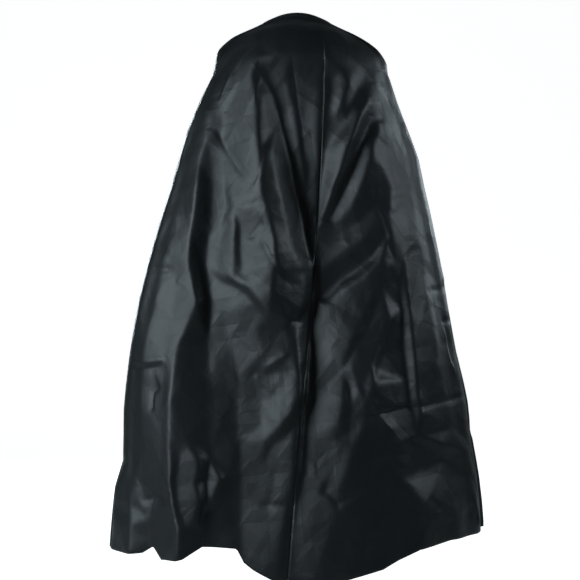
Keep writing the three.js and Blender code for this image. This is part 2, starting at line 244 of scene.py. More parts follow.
# The ridges, creases and hollows of the back, each as (x, height, how far it stands out behind
# the wearer). Between them the cloth lies in flat facets.
BACK_LINES = [
    # the left side, where the cloth turns to the front
    [(-0.178, -0.115, 0.066), (-0.22, -0.215, 0.068), (-0.254, -0.335, 0.071), (-0.286, -0.46, 0.076),
     (-0.318, -0.58, 0.081), (-0.342, -0.7, 0.086), (-0.374, -0.82, 0.09), (-0.378, -0.94, 0.097),
     (-0.376, -1.06, 0.104), (-0.386, -1.13, 0.106)],
    # the right side
    [(0.192, -0.115, 0.068), (0.222, -0.215, 0.07), (0.25, -0.335, 0.081), (0.28, -0.46, 0.084),
     (0.304, -0.58, 0.088), (0.328, -0.7, 0.09), (0.348, -0.82, 0.094), (0.362, -0.94, 0.098),
     (0.372, -1.01, 0.102)],
    # the line under the shoulders where the cloth starts to hang
    [(-0.178, -0.115, 0.066), (-0.138, -0.125, 0.112), (-0.1, -0.125, 0.138), (-0.064, -0.125, 0.146),
     (-0.026, -0.125, 0.15), (0.014, -0.125, 0.152), (0.06, -0.125, 0.151), (0.114, -0.13, 0.142),
     (0.156, -0.13, 0.116), (0.192, -0.115, 0.068)],
    # the round of the shoulders
    [(-0.144, -0.08, 0.075), (-0.102, -0.08, 0.112), (-0.054, -0.085, 0.133), (0.006, -0.085, 0.14),
     (0.066, -0.09, 0.138), (0.114, -0.09, 0.118), (0.158, -0.085, 0.08)],
    # above it
    [(-0.094, -0.05, 0.093), (-0.046, -0.05, 0.118), (0.006, -0.055, 0.126), (0.06, -0.055, 0.118),
     (0.098, -0.05, 0.094)],
    # hollow beside the left shoulder
    [(-0.182, -0.17, 0.086), (-0.182, -0.22, 0.093), (-0.178, -0.29, 0.104), (-0.18, -0.355, 0.11),
     (-0.176, -0.415, 0.115), (-0.166, -0.475, 0.12), (-0.18, -0.52, 0.12), (-0.188, -0.58, 0.123),
     (-0.192, -0.635, 0.125)],
    # crease on the left shoulder
    [(-0.19, -0.165, 0.074), (-0.198, -0.195, 0.078), (-0.194, -0.245, 0.094), (-0.184, -0.285, 0.106)],
    # left shoulder facets
    [(-0.226, -0.26, 0.084), (-0.224, -0.31, 0.098), (-0.238, -0.365, 0.104), (-0.242, -0.415, 0.118),
     (-0.248, -0.475, 0.122), (-0.256, -0.545, 0.123), (-0.26, -0.61, 0.128)],
    # left shoulder dark hollow
    [(-0.21, -0.34, 0.1), (-0.204, -0.425, 0.108), (-0.21, -0.52, 0.109), (-0.222, -0.615, 0.108)],
    # crest of the left roll
    [(-0.108, -0.16, 0.14), (-0.094, -0.23, 0.156), (-0.09, -0.35, 0.172), (-0.084, -0.445, 0.18),
     (-0.068, -0.5, 0.188), (-0.052, -0.56, 0.194), (-0.05, -0.62, 0.194), (-0.06, -0.675, 0.188)],
    # its right shoulder, before the valley wall
    [(-0.06, -0.35, 0.164), (-0.048, -0.42, 0.167), (-0.032, -0.475, 0.17), (-0.016, -0.56, 0.17),
     (0.004, -0.605, 0.164), (0.02, -0.665, 0.15), (0.016, -0.71, 0.15), (0, -0.75, 0.154),
     (0.002, -0.805, 0.162), (0.006, -0.865, 0.17), (0.012, -0.925, 0.176)],
    # valley between the left roll and the seam
    [(-0.072, -0.155, 0.129), (-0.058, -0.205, 0.119), (-0.04, -0.27, 0.112), (-0.018, -0.365, 0.108),
     (0, -0.46, 0.106), (0.018, -0.545, 0.109), (0.028, -0.6, 0.112)],
    # crease left of the seam
    [(-0.026, -0.13, 0.146), (-0.018, -0.175, 0.136), (-0.008, -0.22, 0.133), (0.002, -0.27, 0.131),
     (0.008, -0.33, 0.128), (0.016, -0.39, 0.123), (0.024, -0.435, 0.116)],
    # beside that crease
    [(-0.01, -0.16, 0.134), (0.002, -0.22, 0.127), (0.012, -0.27, 0.124), (0.018, -0.33, 0.121),
     (0.026, -0.385, 0.118)],
    # the seam
    [(0.064, -0.145, 0.144), (0.064, -0.18, 0.143), (0.064, -0.215, 0.142), (0.056, -0.275, 0.14),
     (0.052, -0.345, 0.135), (0.05, -0.39, 0.13), (0.048, -0.45, 0.123), (0.042, -0.495, 0.119),
     (0.036, -0.545, 0.117)],
    # right foot of the seam
    [(0.076, -0.18, 0.133), (0.076, -0.22, 0.131), (0.068, -0.275, 0.128), (0.064, -0.345, 0.125),
     (0.06, -0.4, 0.121), (0.054, -0.475, 0.118)],
    # facet right of the seam
    [(0.104, -0.15, 0.15), (0.124, -0.185, 0.156), (0.11, -0.23, 0.154)],
    # hollow left of the first crease
    [(0.144, -0.19, 0.132), (0.13, -0.235, 0.138), (0.116, -0.28, 0.142)],
    # first crease from the right shoulder blade
    [(0.188, -0.185, 0.114), (0.17, -0.225, 0.148), (0.15, -0.265, 0.164), (0.128, -0.325, 0.169),
     (0.108, -0.385, 0.163), (0.088, -0.43, 0.152), (0.058, -0.51, 0.125)],
    # hollow right of it
    [(0.174, -0.27, 0.124), (0.152, -0.32, 0.128), (0.13, -0.38, 0.127), (0.11, -0.435, 0.123),
     (0.074, -0.51, 0.118)],
    # second crease
    [(0.198, -0.28, 0.128), (0.178, -0.345, 0.152), (0.16, -0.405, 0.154), (0.132, -0.475, 0.142),
     (0.092, -0.525, 0.125)],
    # the right shoulder blade's outer corner
    [(0.214, -0.265, 0.104), (0.22, -0.34, 0.118), (0.224, -0.425, 0.132), (0.22, -0.5, 0.142),
     (0.224, -0.54, 0.146)],
    # upper drag hollow
    [(0.186, -0.475, 0.138), (0.144, -0.52, 0.133), (0.092, -0.555, 0.121), (0.06, -0.575, 0.118)],
    # upper drag ridge
    [(0.198, -0.505, 0.148), (0.158, -0.555, 0.146), (0.116, -0.58, 0.138), (0.064, -0.62, 0.125)],
    # lower drag hollow
    [(0.206, -0.56, 0.14), (0.176, -0.605, 0.135), (0.138, -0.635, 0.129), (0.102, -0.66, 0.123),
     (0.068, -0.695, 0.117)],
    # lower drag ridge
    [(0.224, -0.54, 0.146), (0.198, -0.6, 0.156), (0.156, -0.645, 0.152), (0.116, -0.67, 0.143),
     (0.08, -0.71, 0.134), (0.052, -0.765, 0.125), (0.038, -0.8, 0.12)],
    # the valley
    [(0.036, -0.545, 0.117), (0.036, -0.61, 0.114), (0.036, -0.7, 0.112), (0.032, -0.81, 0.115),
     (0.024, -0.875, 0.122), (0.018, -0.94, 0.128), (0.014, -1.035, 0.138), (0.01, -1.115, 0.144),
     (-0.004, -1.185, 0.153), (-0.018, -1.265, 0.163), (-0.026, -1.37, 0.168)],
    # right lip of the valley
    [(0.054, -0.85, 0.13), (0.044, -0.94, 0.136), (0.038, -1.03, 0.146), (0.032, -1.115, 0.151),
     (0.02, -1.185, 0.16), (0.006, -1.265, 0.169), (-0.004, -1.37, 0.174)],
    # left lip of the valley, below the facet
    [(0.004, -0.97, 0.156), (-0.002, -1.04, 0.164), (-0.008, -1.115, 0.163), (-0.022, -1.185, 0.165),
     (-0.038, -1.265, 0.17), (-0.05, -1.37, 0.174)],
    # right, light band: its left crease
    [(0.224, -0.61, 0.146), (0.2, -0.67, 0.146), (0.174, -0.73, 0.146), (0.148, -0.79, 0.148),
     (0.118, -0.85, 0.15)],
    # its ridge beside the crease
    [(0.216, -0.625, 0.154), (0.188, -0.68, 0.155), (0.162, -0.735, 0.155), (0.134, -0.79, 0.156),
     (0.108, -0.84, 0.152)],
    # its right crease
    [(0.22, -0.745, 0.156), (0.2, -0.8, 0.16), (0.178, -0.855, 0.164), (0.154, -0.91, 0.164)],
    # hollow right of that crease
    [(0.23, -0.76, 0.139), (0.21, -0.82, 0.142), (0.19, -0.87, 0.148)],
    # bright strip on the right flank: its foot
    [(0.242, -0.655, 0.132), (0.248, -0.725, 0.13), (0.252, -0.81, 0.132), (0.262, -0.89, 0.134),
     (0.272, -0.965, 0.14), (0.28, -1.015, 0.15)],
    # bright strip on the right flank: its ridge
    [(0.26, -0.64, 0.138), (0.268, -0.725, 0.144), (0.276, -0.805, 0.15), (0.284, -0.89, 0.154),
     (0.296, -0.965, 0.156), (0.284, -1.02, 0.156)],
    # right flank, dark facet's far edge
    [(0.306, -0.665, 0.108), (0.318, -0.715, 0.11), (0.332, -0.785, 0.116), (0.334, -0.855, 0.12),
     (0.32, -0.935, 0.126)],
    # right drag from the flank
    [(0.274, -0.48, 0.096), (0.266, -0.535, 0.118), (0.254, -0.595, 0.132), (0.242, -0.655, 0.132)],
    # left facet: top crease
    [(-0.084, -0.875, 0.136), (-0.052, -0.845, 0.156), (-0.018, -0.82, 0.164)],
    # left facet: left edge
    [(-0.084, -0.875, 0.136), (-0.086, -0.94, 0.133), (-0.084, -1, 0.136), (-0.074, -1.035, 0.146)],
    # left facet: lower ridge
    [(0.012, -0.925, 0.176), (-0.01, -0.965, 0.174), (-0.038, -1, 0.169), (-0.074, -1.035, 0.146)],
    # just below it
    [(0.004, -0.97, 0.156), (-0.03, -1.02, 0.15), (-0.062, -1.05, 0.142)],
    # bright streak on the left roll
    [(-0.152, -0.48, 0.142), (-0.146, -0.53, 0.149), (-0.15, -0.58, 0.15), (-0.154, -0.65, 0.148)],
    # beside the streak
    [(-0.138, -0.53, 0.142), (-0.136, -0.585, 0.144), (-0.134, -0.635, 0.148)],
    # diagonal crease
    [(-0.192, -0.635, 0.125), (-0.154, -0.65, 0.148), (-0.112, -0.67, 0.168), (-0.094, -0.7, 0.176),
     (-0.068, -0.73, 0.18), (-0.026, -0.745, 0.17)],
    # just below it
    [(-0.188, -0.655, 0.121), (-0.156, -0.665, 0.136), (-0.12, -0.685, 0.152), (-0.1, -0.71, 0.162),
     (-0.072, -0.745, 0.168), (-0.03, -0.765, 0.162)],
    # below the diagonal crease
    [(-0.176, -0.725, 0.126), (-0.16, -0.81, 0.122), (-0.142, -0.89, 0.122)],
    # below the diagonal crease, right
    [(-0.098, -0.77, 0.155), (-0.084, -0.825, 0.152)],
    # bright ridge of the left flank: its foot
    [(-0.29, -0.665, 0.106), (-0.308, -0.76, 0.109), (-0.318, -0.82, 0.114), (-0.318, -0.89, 0.123),
     (-0.32, -0.94, 0.13), (-0.322, -1.035, 0.14), (-0.318, -1.125, 0.15), (-0.31, -1.185, 0.158),
     (-0.304, -1.235, 0.156), (-0.32, -1.32, 0.134), (-0.322, -1.38, 0.13)],
    # bright ridge of the left flank
    [(-0.26, -0.61, 0.128), (-0.25, -0.655, 0.134), (-0.238, -0.705, 0.144), (-0.264, -0.765, 0.135),
     (-0.286, -0.81, 0.13), (-0.296, -0.87, 0.138), (-0.304, -0.935, 0.15), (-0.306, -1.03, 0.16),
     (-0.302, -1.125, 0.17), (-0.294, -1.18, 0.176), (-0.282, -1.24, 0.184), (-0.286, -1.31, 0.182),
     (-0.286, -1.365, 0.182)],
    # left hollow
    [(-0.222, -0.615, 0.108), (-0.21, -0.7, 0.113), (-0.214, -0.795, 0.115), (-0.218, -0.89, 0.121),
     (-0.214, -0.985, 0.127), (-0.21, -1.07, 0.132), (-0.22, -1.125, 0.136), (-0.224, -1.205, 0.143)],
    # left hollow, at the hem
    [(-0.202, -1.26, 0.14), (-0.198, -1.32, 0.14), (-0.198, -1.38, 0.14)],
    # left hollow's far side
    [(-0.146, -0.94, 0.119), (-0.142, -1.035, 0.121), (-0.136, -1.13, 0.125), (-0.136, -1.225, 0.13),
     (-0.132, -1.29, 0.138), (-0.132, -1.38, 0.14)],
    # start of the centre bulge
    [(-0.088, -1.095, 0.136), (-0.098, -1.175, 0.138), (-0.094, -1.245, 0.148), (-0.084, -1.34, 0.162),
     (-0.084, -1.37, 0.164)],
    # light patch above the left hem
    [(-0.264, -1.04, 0.152), (-0.236, -1.07, 0.16), (-0.232, -1.115, 0.163), (-0.242, -1.135, 0.162),
     (-0.226, -1.175, 0.169), (-0.236, -1.215, 0.169), (-0.258, -1.24, 0.169)],
    # light patch: its foot
    [(-0.264, -1.04, 0.152), (-0.28, -1.07, 0.151), (-0.29, -1.12, 0.155), (-0.286, -1.17, 0.162),
     (-0.274, -1.215, 0.168)],
    # below the patch
    [(-0.226, -1.25, 0.146), (-0.228, -1.285, 0.148), (-0.23, -1.375, 0.148)],
    # small fan
    [(-0.212, -1.105, 0.14), (-0.18, -1.125, 0.154), (-0.198, -1.17, 0.15), (-0.214, -1.2, 0.14)],
    # small fan: right
    [(-0.17, -1.125, 0.136), (-0.186, -1.18, 0.136)],
    # left corner ridge
    [(-0.386, -1.13, 0.106), (-0.412, -1.135, 0.084), (-0.406, -1.185, 0.108), (-0.402, -1.24, 0.124),
     (-0.404, -1.3, 0.132), (-0.406, -1.38, 0.132)],
    # left corner outer
    [(-0.438, -1.205, 0.058), (-0.448, -1.265, 0.064), (-0.45, -1.31, 0.068), (-0.452, -1.395, 0.068)],
    # left corner hollow
    [(-0.352, -1.225, 0.126), (-0.35, -1.275, 0.122), (-0.348, -1.38, 0.122)],
    # lower left crease
    [(-0.386, -1.13, 0.106), (-0.326, -1.175, 0.136)],
    # centre right: left of the lower flat
    [(0.108, -0.875, 0.15), (0.11, -0.93, 0.164), (0.1, -0.985, 0.164), (0.08, -1.03, 0.157)],
    # dark beside it
    [(0.122, -0.9, 0.152), (0.124, -0.96, 0.154), (0.116, -1.02, 0.159)],
    # ridge of the lower flat
    [(0.162, -0.98, 0.168), (0.13, -1.05, 0.174), (0.102, -1.145, 0.179), (0.074, -1.24, 0.184),
     (0.036, -1.365, 0.189)],
    # strip between valley and flat
    [(0.076, -1.09, 0.159), (0.048, -1.17, 0.166), (0.028, -1.23, 0.171)],
    # lower flat: far side
    [(0.242, -1.03, 0.164), (0.246, -1.12, 0.174), (0.236, -1.195, 0.178), (0.228, -1.25, 0.182),
     (0.212, -1.365, 0.188)],
    # light facet at the lower right
    [(0.306, -1.18, 0.176), (0.296, -1.25, 0.186), (0.272, -1.365, 0.194)],
    # dark band on the right: top
    [(0.284, -1.02, 0.156), (0.35, -1.045, 0.13), (0.416, -1.07, 0.076)],
    # dark band on the right: bottom
    [(0.294, -1.04, 0.144), (0.354, -1.085, 0.114), (0.42, -1.135, 0.066)],
    # lower right outer
    [(0.368, -1.165, 0.13), (0.382, -1.225, 0.134), (0.392, -1.38, 0.134)],
    # lower right far corner
    [(0.42, -1.185, 0.078), (0.43, -1.26, 0.076), (0.436, -1.395, 0.074)],
    # diamond
    [(0.128, -0.86, 0.162), (0.146, -0.915, 0.17), (0.154, -0.91, 0.164), (0.18, -0.87, 0.172),
     (0.182, -0.895, 0.174), (0.16, -0.94, 0.17)],
    # packing crease on the right
    [(0.162, -0.98, 0.168), (0.218, -0.97, 0.154), (0.266, -0.96, 0.138)],
    # packing crease on the right, outer
    [(0.296, -0.965, 0.156), (0.322, -0.95, 0.126), (0.362, -0.94, 0.098)],
]
CELL = 0.003  # of the table of the facets
TABLE_LOW = (-0.51, -1.42)
TABLE_SIZE = (341, 474)
CRISP = 0.0035  # how far a crease is rounded at its crispest and at its softest
SOFT = 0.011
SOFT_HEIGHTS = (-0.5, -0.2)  # the creases soften between these
SOFT_BELOW, SOFT_RISE = 0.42, 0.45  # share of the softest below them, and how much it rises
RIM = math.radians(80)  # past this the cape keeps its plain drape
RIM_TOP = 0.015  # share of the fall where the facets meet the shoulders
RIM_POINTS = 24
CLOSE = 1e-4  # points nearer than this are one
FLAT_TRIANGLE = 1e-9
EDGE_MARGIN = 1e-6
LAST_CELL = 1.001  # keeps a place clear of the table's last row and column


def rim_lines():
    """Lines on the plain drape itself, down both sides and across the shoulders."""
    down = np.linspace(RIM_TOP, 1, RIM_POINTS)
    across = np.linspace(-RIM, RIM, RIM_POINTS + 1)[1:-1]
    lines = [eased(np.full(RIM_POINTS, -RIM), down), eased(np.full(RIM_POINTS, RIM), down),
             eased(across, np.full(RIM_POINTS - 1, RIM_TOP))]
    return [[(x, z, -y) for x, y, z in line] for line in lines]


def fill_triangle(table, a, b, c, stands):
    """Writes a flat triangle into the table's cells inside it.

    The stand is the sum of the corners' stands times the cell's barycentric coordinates.
    """
    low = np.maximum(np.floor(np.min([a, b, c], axis=0)).astype(int), 0)
    high = np.ceil(np.max([a, b, c], axis=0)).astype(int) + 1
    part = table[low[1]:high[1], low[0]:high[0]]
    area = (b[0] - a[0]) * (c[1] - a[1]) - (c[0] - a[0]) * (b[1] - a[1])
    if abs(area) < FLAT_TRIANGLE:
        return
    z = low[1] + np.arange(part.shape[0])[:, None]
    x = low[0] + np.arange(part.shape[1])[None, :]
    wb = ((x - a[0]) * (c[1] - a[1]) - (c[0] - a[0]) * (z - a[1])) / area
    wc = ((b[0] - a[0]) * (z - a[1]) - (x - a[0]) * (b[1] - a[1])) / area
    inside = (wb > -EDGE_MARGIN) & (wc > -EDGE_MARGIN) & (wb + wc < 1 + EDGE_MARGIN)
    sa, sb, sc = stands
    part[inside] = (sa + (sb - sa) * wb + (sc - sa) * wc)[inside]


def facet_table():
    """How far the back stands out at each cell, from flat triangles between all the lines."""
    corners, edges, stands = [], [], []
    for line in BACK_LINES + rim_lines():
        first = len(corners)
        corners += [Vector((x, z)) for x, z, _ in line]
        stands += [stand for _, _, stand in line]
        edges += [(k, k + 1) for k in range(first, len(corners) - 1)]
    places, _, triangles, sources, _, _ = delaunay_2d_cdt(corners, edges, [], 0, CLOSE)
    stands = np.array([stands[source[0]] if source else 0 for source in sources])
    places = (np.array(places) - TABLE_LOW) / CELL
    table = np.full(TABLE_SIZE[::-1], 0.0)
    for triangle in triangles:
        fill_triangle(table, *places[list(triangle)], stands[list(triangle)])
    crisp = blur(blur(table, CRISP / CELL, 0), CRISP / CELL, 1)
    soft = blur(blur(table, SOFT / CELL, 0), SOFT / CELL, 1)
    height = TABLE_LOW[1] + np.arange(TABLE_SIZE[1])[:, None] * CELL
    softness = smoothstep(height, *SOFT_HEIGHTS)
    return crisp + (soft - crisp) * (SOFT_BELOW + SOFT_RISE * softness)


FACETS = facet_table()


def facets(x, z):
    """The stand at each place, read from the table between its four nearest cells."""
    column = np.clip((x - TABLE_LOW[0]) / CELL, 0, TABLE_SIZE[0] - LAST_CELL)
    row = np.clip((z - TABLE_LOW[1]) / CELL, 0, TABLE_SIZE[1] - LAST_CELL)
    c, r = column.astype(int), row.astype(int)
    fc, fr = column - c, row - r
    below = FACETS[r, c] * (1 - fc) + FACETS[r, c + 1] * fc
    above = FACETS[r + 1, c] * (1 - fc) + FACETS[r + 1, c + 1] * fc
    return below * (1 - fr) + above * fr


# ---- Folds ------------------------------------------------------------------------------

SPLINE_STEPS = 8
FOLD_REACH = 4  # widths from its path, past which a fold isn't worked out


def spline(points, steps):
    """A Catmull-Rom curve through the points, as an array with steps places per span."""
    p = np.array(points, float)
    p = np.vstack([2 * p[0] - p[1], p, 2 * p[-1] - p[-2]])
    t = np.linspace(0, 1, steps, endpoint=False)[:, None]
    spans = []
    for k in range(1, len(p) - 2):
        a, b, c, d = p[k - 1:k + 3]
        spans.append(0.5 * (2 * b + (c - a) * t + (2 * a - 5 * b + 4 * c - d) * t**2
                            + (3 * b - a - 3 * c + d) * t**3))
    return np.vstack([*spans, p[-2:-1]])


def fold(x, z, path, height, widths, crest=1.0, fade=(0.25, 0.25), tip=0.002):
    """The height of one fold at each place (x, z), seen from behind.

    height * ends * exp(-(d / width)^crest), where d is the distance to the path, softened by
    sqrt(d^2 + tip^2), and the width is the first of widths on the side that is on the left of
    a path that runs down. ends rises over the first share of the path's length and falls over
    the last.
    """
    line = spline(path, SPLINE_STEPS)
    steps = np.diff(line, axis=0)
    lengths = np.linalg.norm(steps, axis=1)
    run = np.concatenate([[0], np.cumsum(lengths)])
    reach = FOLD_REACH * max(widths)
    near = ((x > line[:, 0].min() - reach) & (x < line[:, 0].max() + reach)
            & (z > line[:, 1].min() - reach) & (z < line[:, 1].max() + reach))
    px, pz = x[near][:, None], z[near][:, None]
    dx, dz = px - line[:-1, 0], pz - line[:-1, 1]
    t = np.clip((dx * steps[:, 0] + dz * steps[:, 1]) / lengths**2, 0, 1)
    gap = np.hypot(dx - t * steps[:, 0], dz - t * steps[:, 1])
    best = gap.argmin(axis=1)
    rows = np.arange(len(best))
    side = dx[rows, best] * steps[best, 1] - dz[rows, best] * steps[best, 0]
    share = (run[best] + t[rows, best] * lengths[best]) / run[-1]
    distance = np.hypot(gap[rows, best], tip) - tip
    width = np.where(side > 0, widths[0], widths[1])
    ends = smoothstep(share, 0, fade[0]) * smoothstep(1 - share, 0, fade[1])
    out = np.zeros_like(x)
    out[near] = height * ends * np.exp(-(distance / width) ** crest)
    return out


# Each fold on the back: its path as (x, height), how far it stands out, its two widths, and
# its crest, from 1 for a crease to 2 for a roll.
BACK_FOLDS = [
    # creases on the left shoulder and flank
    ([(-0.2, -0.28), (-0.166, -0.345), (-0.12, -0.42)], -0.004, (0.006, 0.016), 1),
    ([(-0.38, -0.62), (-0.295, -0.628)], -0.004, (0.01, 0.006), 1),
    ([(-0.36, -0.565), (-0.31, -0.585)], -0.003, (0.008, 0.005), 1),
    ([(-0.42, -0.845), (-0.36, -0.85), (-0.31, -0.84)], 0.005, (0.008, 0.014), 1),
    ([(-0.42, -0.875), (-0.31, -0.858)], -0.004, (0.008, 0.008), 1),
    ([(-0.38, -1.185), (-0.305, -1.165)], -0.005, (0.01, 0.014), 1),
    # creases from folding for the packet
    ([(0.315, -0.679), (0.376, -0.674)], -0.003, (0.006, 0.006), 1),
    ([(0.348, -0.754), (0.383, -0.752)], -0.004, (0.006, 0.006), 1),
    ([(0.13, -0.98), (0.217, -0.965), (0.45, -0.93)], -0.0045, (0.008, 0.005), 1),
    ([(-0.1, -1.19), (0.0, -1.185)], -0.003, (0.006, 0.006), 1),
    # short creases beside the valley
    ([(-0.09, -0.875), (-0.015, -0.82)], 0.005, (0.008, 0.014), 1),
    ([(-0.02, -0.745), (0.012, -0.755)], -0.006, (0.006, 0.006), 1),
    ([(0.17, -0.92), (0.195, -0.975), (0.235, -1.02)], 0.006, (0.008, 0.014), 1),
    ([(-0.015, -0.11), (-0.005, -0.2), (0.01, -0.3), (0.02, -0.4)], -0.003, (0.005, 0.005), 1),
]

SEAM_DITCH = (-0.0016, (0.005, 0.005))  # how far the seam stands out, and its two widths
SEAM_DITCH_FADE = (0.01, 0.7)
SEAM_DITCH_TOP = 0.02
SEAM_DITCH_POINTS = 12

CRUMPLES = 150
CRUMPLE_LENGTH = (0.04, 0.16)
CRUMPLE_HEIGHT = 0.0022
CRUMPLE_SEED = 4
CLOTH_REACH = 0.4  # metres for each radian round, where the cloth is crumpled


def crumple(angle, share):
    """Small creases at random over the whole cape, in metres round and down the cloth."""
    chance = np.random.default_rng(CRUMPLE_SEED)
    x, z = (angle * CLOTH_REACH).ravel(), (share * -CAPE_DROP).ravel()
    out = np.zeros(x.size)
    for _ in range(CRUMPLES):
        start = np.array([chance.uniform(-1.1, 1.1), chance.uniform(-1.34, -0.15)])
        length = chance.uniform(*CRUMPLE_LENGTH)
        heading = chance.normal(-math.pi / 2, 0.75)
        end = start + length * np.array([math.cos(heading), math.sin(heading)])
        middle = (start + end) / 2 + chance.normal(0, 0.12 * length, 2)
        height = chance.normal(0, CRUMPLE_HEIGHT)
        widths = chance.permutation([chance.uniform(0.004, 0.008), chance.uniform(0.012, 0.035)])
        out += fold(x, z, [start, middle, end], height, widths)
    return out.reshape(angle.shape)


# The fronts hang in folds between the side and the front edge.
FRONT_FOLDS = 4
FRONT_FOLD_HEIGHT = 0.026
FOLD_START = math.radians(86)
RIDGE_SHARPNESS = 2.4
RIDGE_HEIGHT, HOLLOW_DEPTH = 1.6, 0.6  # as shares of the fold's height
SWAYS = [(0.035, 6.5, 1.7), (0.014, 19, 1)]  # (how far to and fro, times down the fall, side's turn)
SIDE_SHIFT = 0.06  # how far the folds differ from one front to the other
UNEVENNESS = (0.78, 0.22, 5.1)  # (mean height, how much it differs, how often)
FOLD_TOP = (0.10, 0.05)  # share of the fall where a fold begins, and how much that differs
FOLD_FULL = 0.85
FOLD_FADE = (0.12, 0.36)  # shares of the way to the front edge, where the folds set in


def front_folds(angle, share):
    """Hanging folds of the fronts, with narrow ridges and round hollows, deeper towards the hem.

    height * (1.6 * |cos(pi * folds * place)|^2.4 - 0.6), where place is the share of the way from
    the side to the front edge, moved to and fro by two sines of the fall. Height rises from 0
    near the neck, and differs from fold to fold.
    """
    angle, share = np.broadcast_arrays(np.asarray(angle, float), share)
    side = np.sign(angle)
    place = (np.abs(angle) - FOLD_START) / (edge_angle(share) - FOLD_START)
    for sway, times, turn in SWAYS:
        place = place + sway * np.sin(times * share + turn * side)
    place = place + SIDE_SHIFT * side
    ridge = np.abs(np.cos(math.pi * FRONT_FOLDS * place)) ** RIDGE_SHARPNESS
    wave = RIDGE_HEIGHT * ridge - HOLLOW_DEPTH
    mean, uneven, often = UNEVENNESS
    height = FRONT_FOLD_HEIGHT * (mean + uneven * np.sin(often * FRONT_FOLDS * place + 2 * side))
    start = FOLD_TOP[0] + FOLD_TOP[1] * np.sin(9 * place + side)
    down = smoothstep(share, start, FOLD_FULL) ** 0.8
    return height * wave * down * smoothstep(place, *FOLD_FADE)


# The back flares behind: each place also draws in and up a little, towards an eye behind the
# wearer, so that the cape keeps its outline from there.
BACK_FLARE = 0.085
EYE_REACH = 2.6
EYE_HEIGHT = -0.677
FLARE_FALL = (0.45, 1.5)  # metres below the neck, over which the flare grows
FLARE_TURNS = (15, 82)  # degrees round, over which it fades

FACET_TURNS = (64, 80)  # degrees round, over which the facets give way to the plain drape
FACET_START = (0.012, 0.04)  # shares of the fall, over which they set in
FOLD_TURNS = (78, 100)  # degrees round, over which the folds of the back fade


def folded(angle, share):
    """The back's facets and folds, turning into the plain drape at the sides and shoulders."""
    place = eased(angle, share)
    turned = np.abs(np.degrees(angle))
    x, z = place[..., 0], place[..., 2]
    on_back = (1 - smoothstep(turned, *FACET_TURNS)) * smoothstep(share, *FACET_START)
    place[..., 1] += (-facets(x, z) - place[..., 1]) * on_back
    height = np.zeros(x.size)
    for path, rise, widths, crest in BACK_FOLDS:
        height += fold(x.ravel(), z.ravel(), path, rise, widths, crest)
    down = np.linspace(SEAM_DITCH_TOP, 1, SEAM_DITCH_POINTS)
    seam = eased(seam_angle(down), down)[:, (0, 2)]
    height += fold(x.ravel(), z.ravel(), seam, *SEAM_DITCH, fade=SEAM_DITCH_FADE)
    place[..., 1] -= height.reshape(angle.shape) * (1 - smoothstep(turned, *FOLD_TURNS))
    flare = BACK_FLARE * smoothstep(-place[..., 2], *FLARE_FALL) * (1 - smoothstep(turned, *FLARE_TURNS))
    drawn = flare / EYE_REACH
    place[..., 0] -= place[..., 0] * drawn
    place[..., 1] -= flare
    place[..., 2] += (EYE_HEIGHT - place[..., 2]) * drawn
    out = crumple(angle, share) + front_folds(angle, share)
    place[..., 0] += out * np.sin(angle)
    place[..., 1] -= out * np.cos(angle)
    return place


# ---- Meshes -----------------------------------------------------------------------------


def add_object(name, data):
    """A new object in the scene, at the origin."""
    piece = bpy.data.objects.new(name, data)
    bpy.context.collection.objects.link(piece)
    return piece


def mesh_piece(name, points, quads):
    """A smooth piece from an array of points and one of the quads between them."""
    mesh = bpy.data.meshes.new(name)
    mesh.from_pydata(points.reshape(-1, 3).tolist(), [], quads.reshape(-1, 4).tolist())
    mesh.shade_smooth()
    return add_object(name, mesh)


def grid_mesh(name, points, uv=None):
    """A mesh of quads over a grid of points, with a UV map in metres if one is given."""
    rows, columns = points.shape[:2]
    index = np.arange(rows * columns).reshape(rows, columns)
    quads = np.stack([index[:-1, :-1], index[1:, :-1], index[1:, 1:], index[:-1, 1:]], axis=-1)
    piece = mesh_piece(name, points, quads)
    if uv is not None:
        layer = piece.data.uv_layers.new(name="cloth")
        layer.data.foreach_set("uv", uv.reshape(-1, 2)[quads.reshape(-1)].astype(np.float32).ravel())
    return piece


def thicken(piece, thickness, offset=-1):
    """Gives a sheet its thickness, inwards unless offset says otherwise."""
    solidify = piece.modifiers.new("thickness", "SOLIDIFY")
    solidify.thickness = thickness
    solidify.offset = offset
    return piece


# ---- Shader maths -----------------------------------------------------------------------


class Socket:
    """A shader socket that adds Math nodes when it is used in an expression."""

    def __init__(self, tree, link):
        self.tree = tree
        self.link = link

    def node(self, kind, settings=(), inputs=(), output=0):
        return add_node(self.tree, kind, dict(settings), dict(inputs), output)

    def math(self, operation, *values):
        inputs = {i: value for i, value in enumerate(values)}
        return self.node("ShaderNodeMath", {"operation": operation}, inputs)

    def __add__(self, other):
        return self.math("ADD", self, other)

    def __radd__(self, other):
        return self.math("ADD", other, self)

    def __sub__(self, other):
        return self.math("SUBTRACT", self, other)

    def __rsub__(self, other):
        return self.math("SUBTRACT", other, self)

    def __mul__(self, other):
        return self.math("MULTIPLY", self, other)

    def __rmul__(self, other):
        return self.math("MULTIPLY", other, self)

    def sine(self):
        return self.math("SINE", self)

    def clamped(self):
        return self.math("MINIMUM", self.math("MAXIMUM", self, 0), 1)


def add_node(tree, kind, settings, inputs, output=0):
    """Adds a node: its settings first, then its sockets' values or links. Returns one output."""
    node = tree.nodes.new(kind)
    for key, value in settings.items():
        setattr(node, key, value)
    for key, value in inputs.items():
        if isinstance(value, Socket):
            tree.links.new(value.link, node.inputs[key])
        else:
            node.inputs[key].default_value = value
    return Socket(tree, node.outputs[output])


def new_material(name):
    material = bpy.data.materials.new(name)
    material.use_nodes = True
    tree = material.node_tree
    return material, tree, tree.nodes["Principled BSDF"]


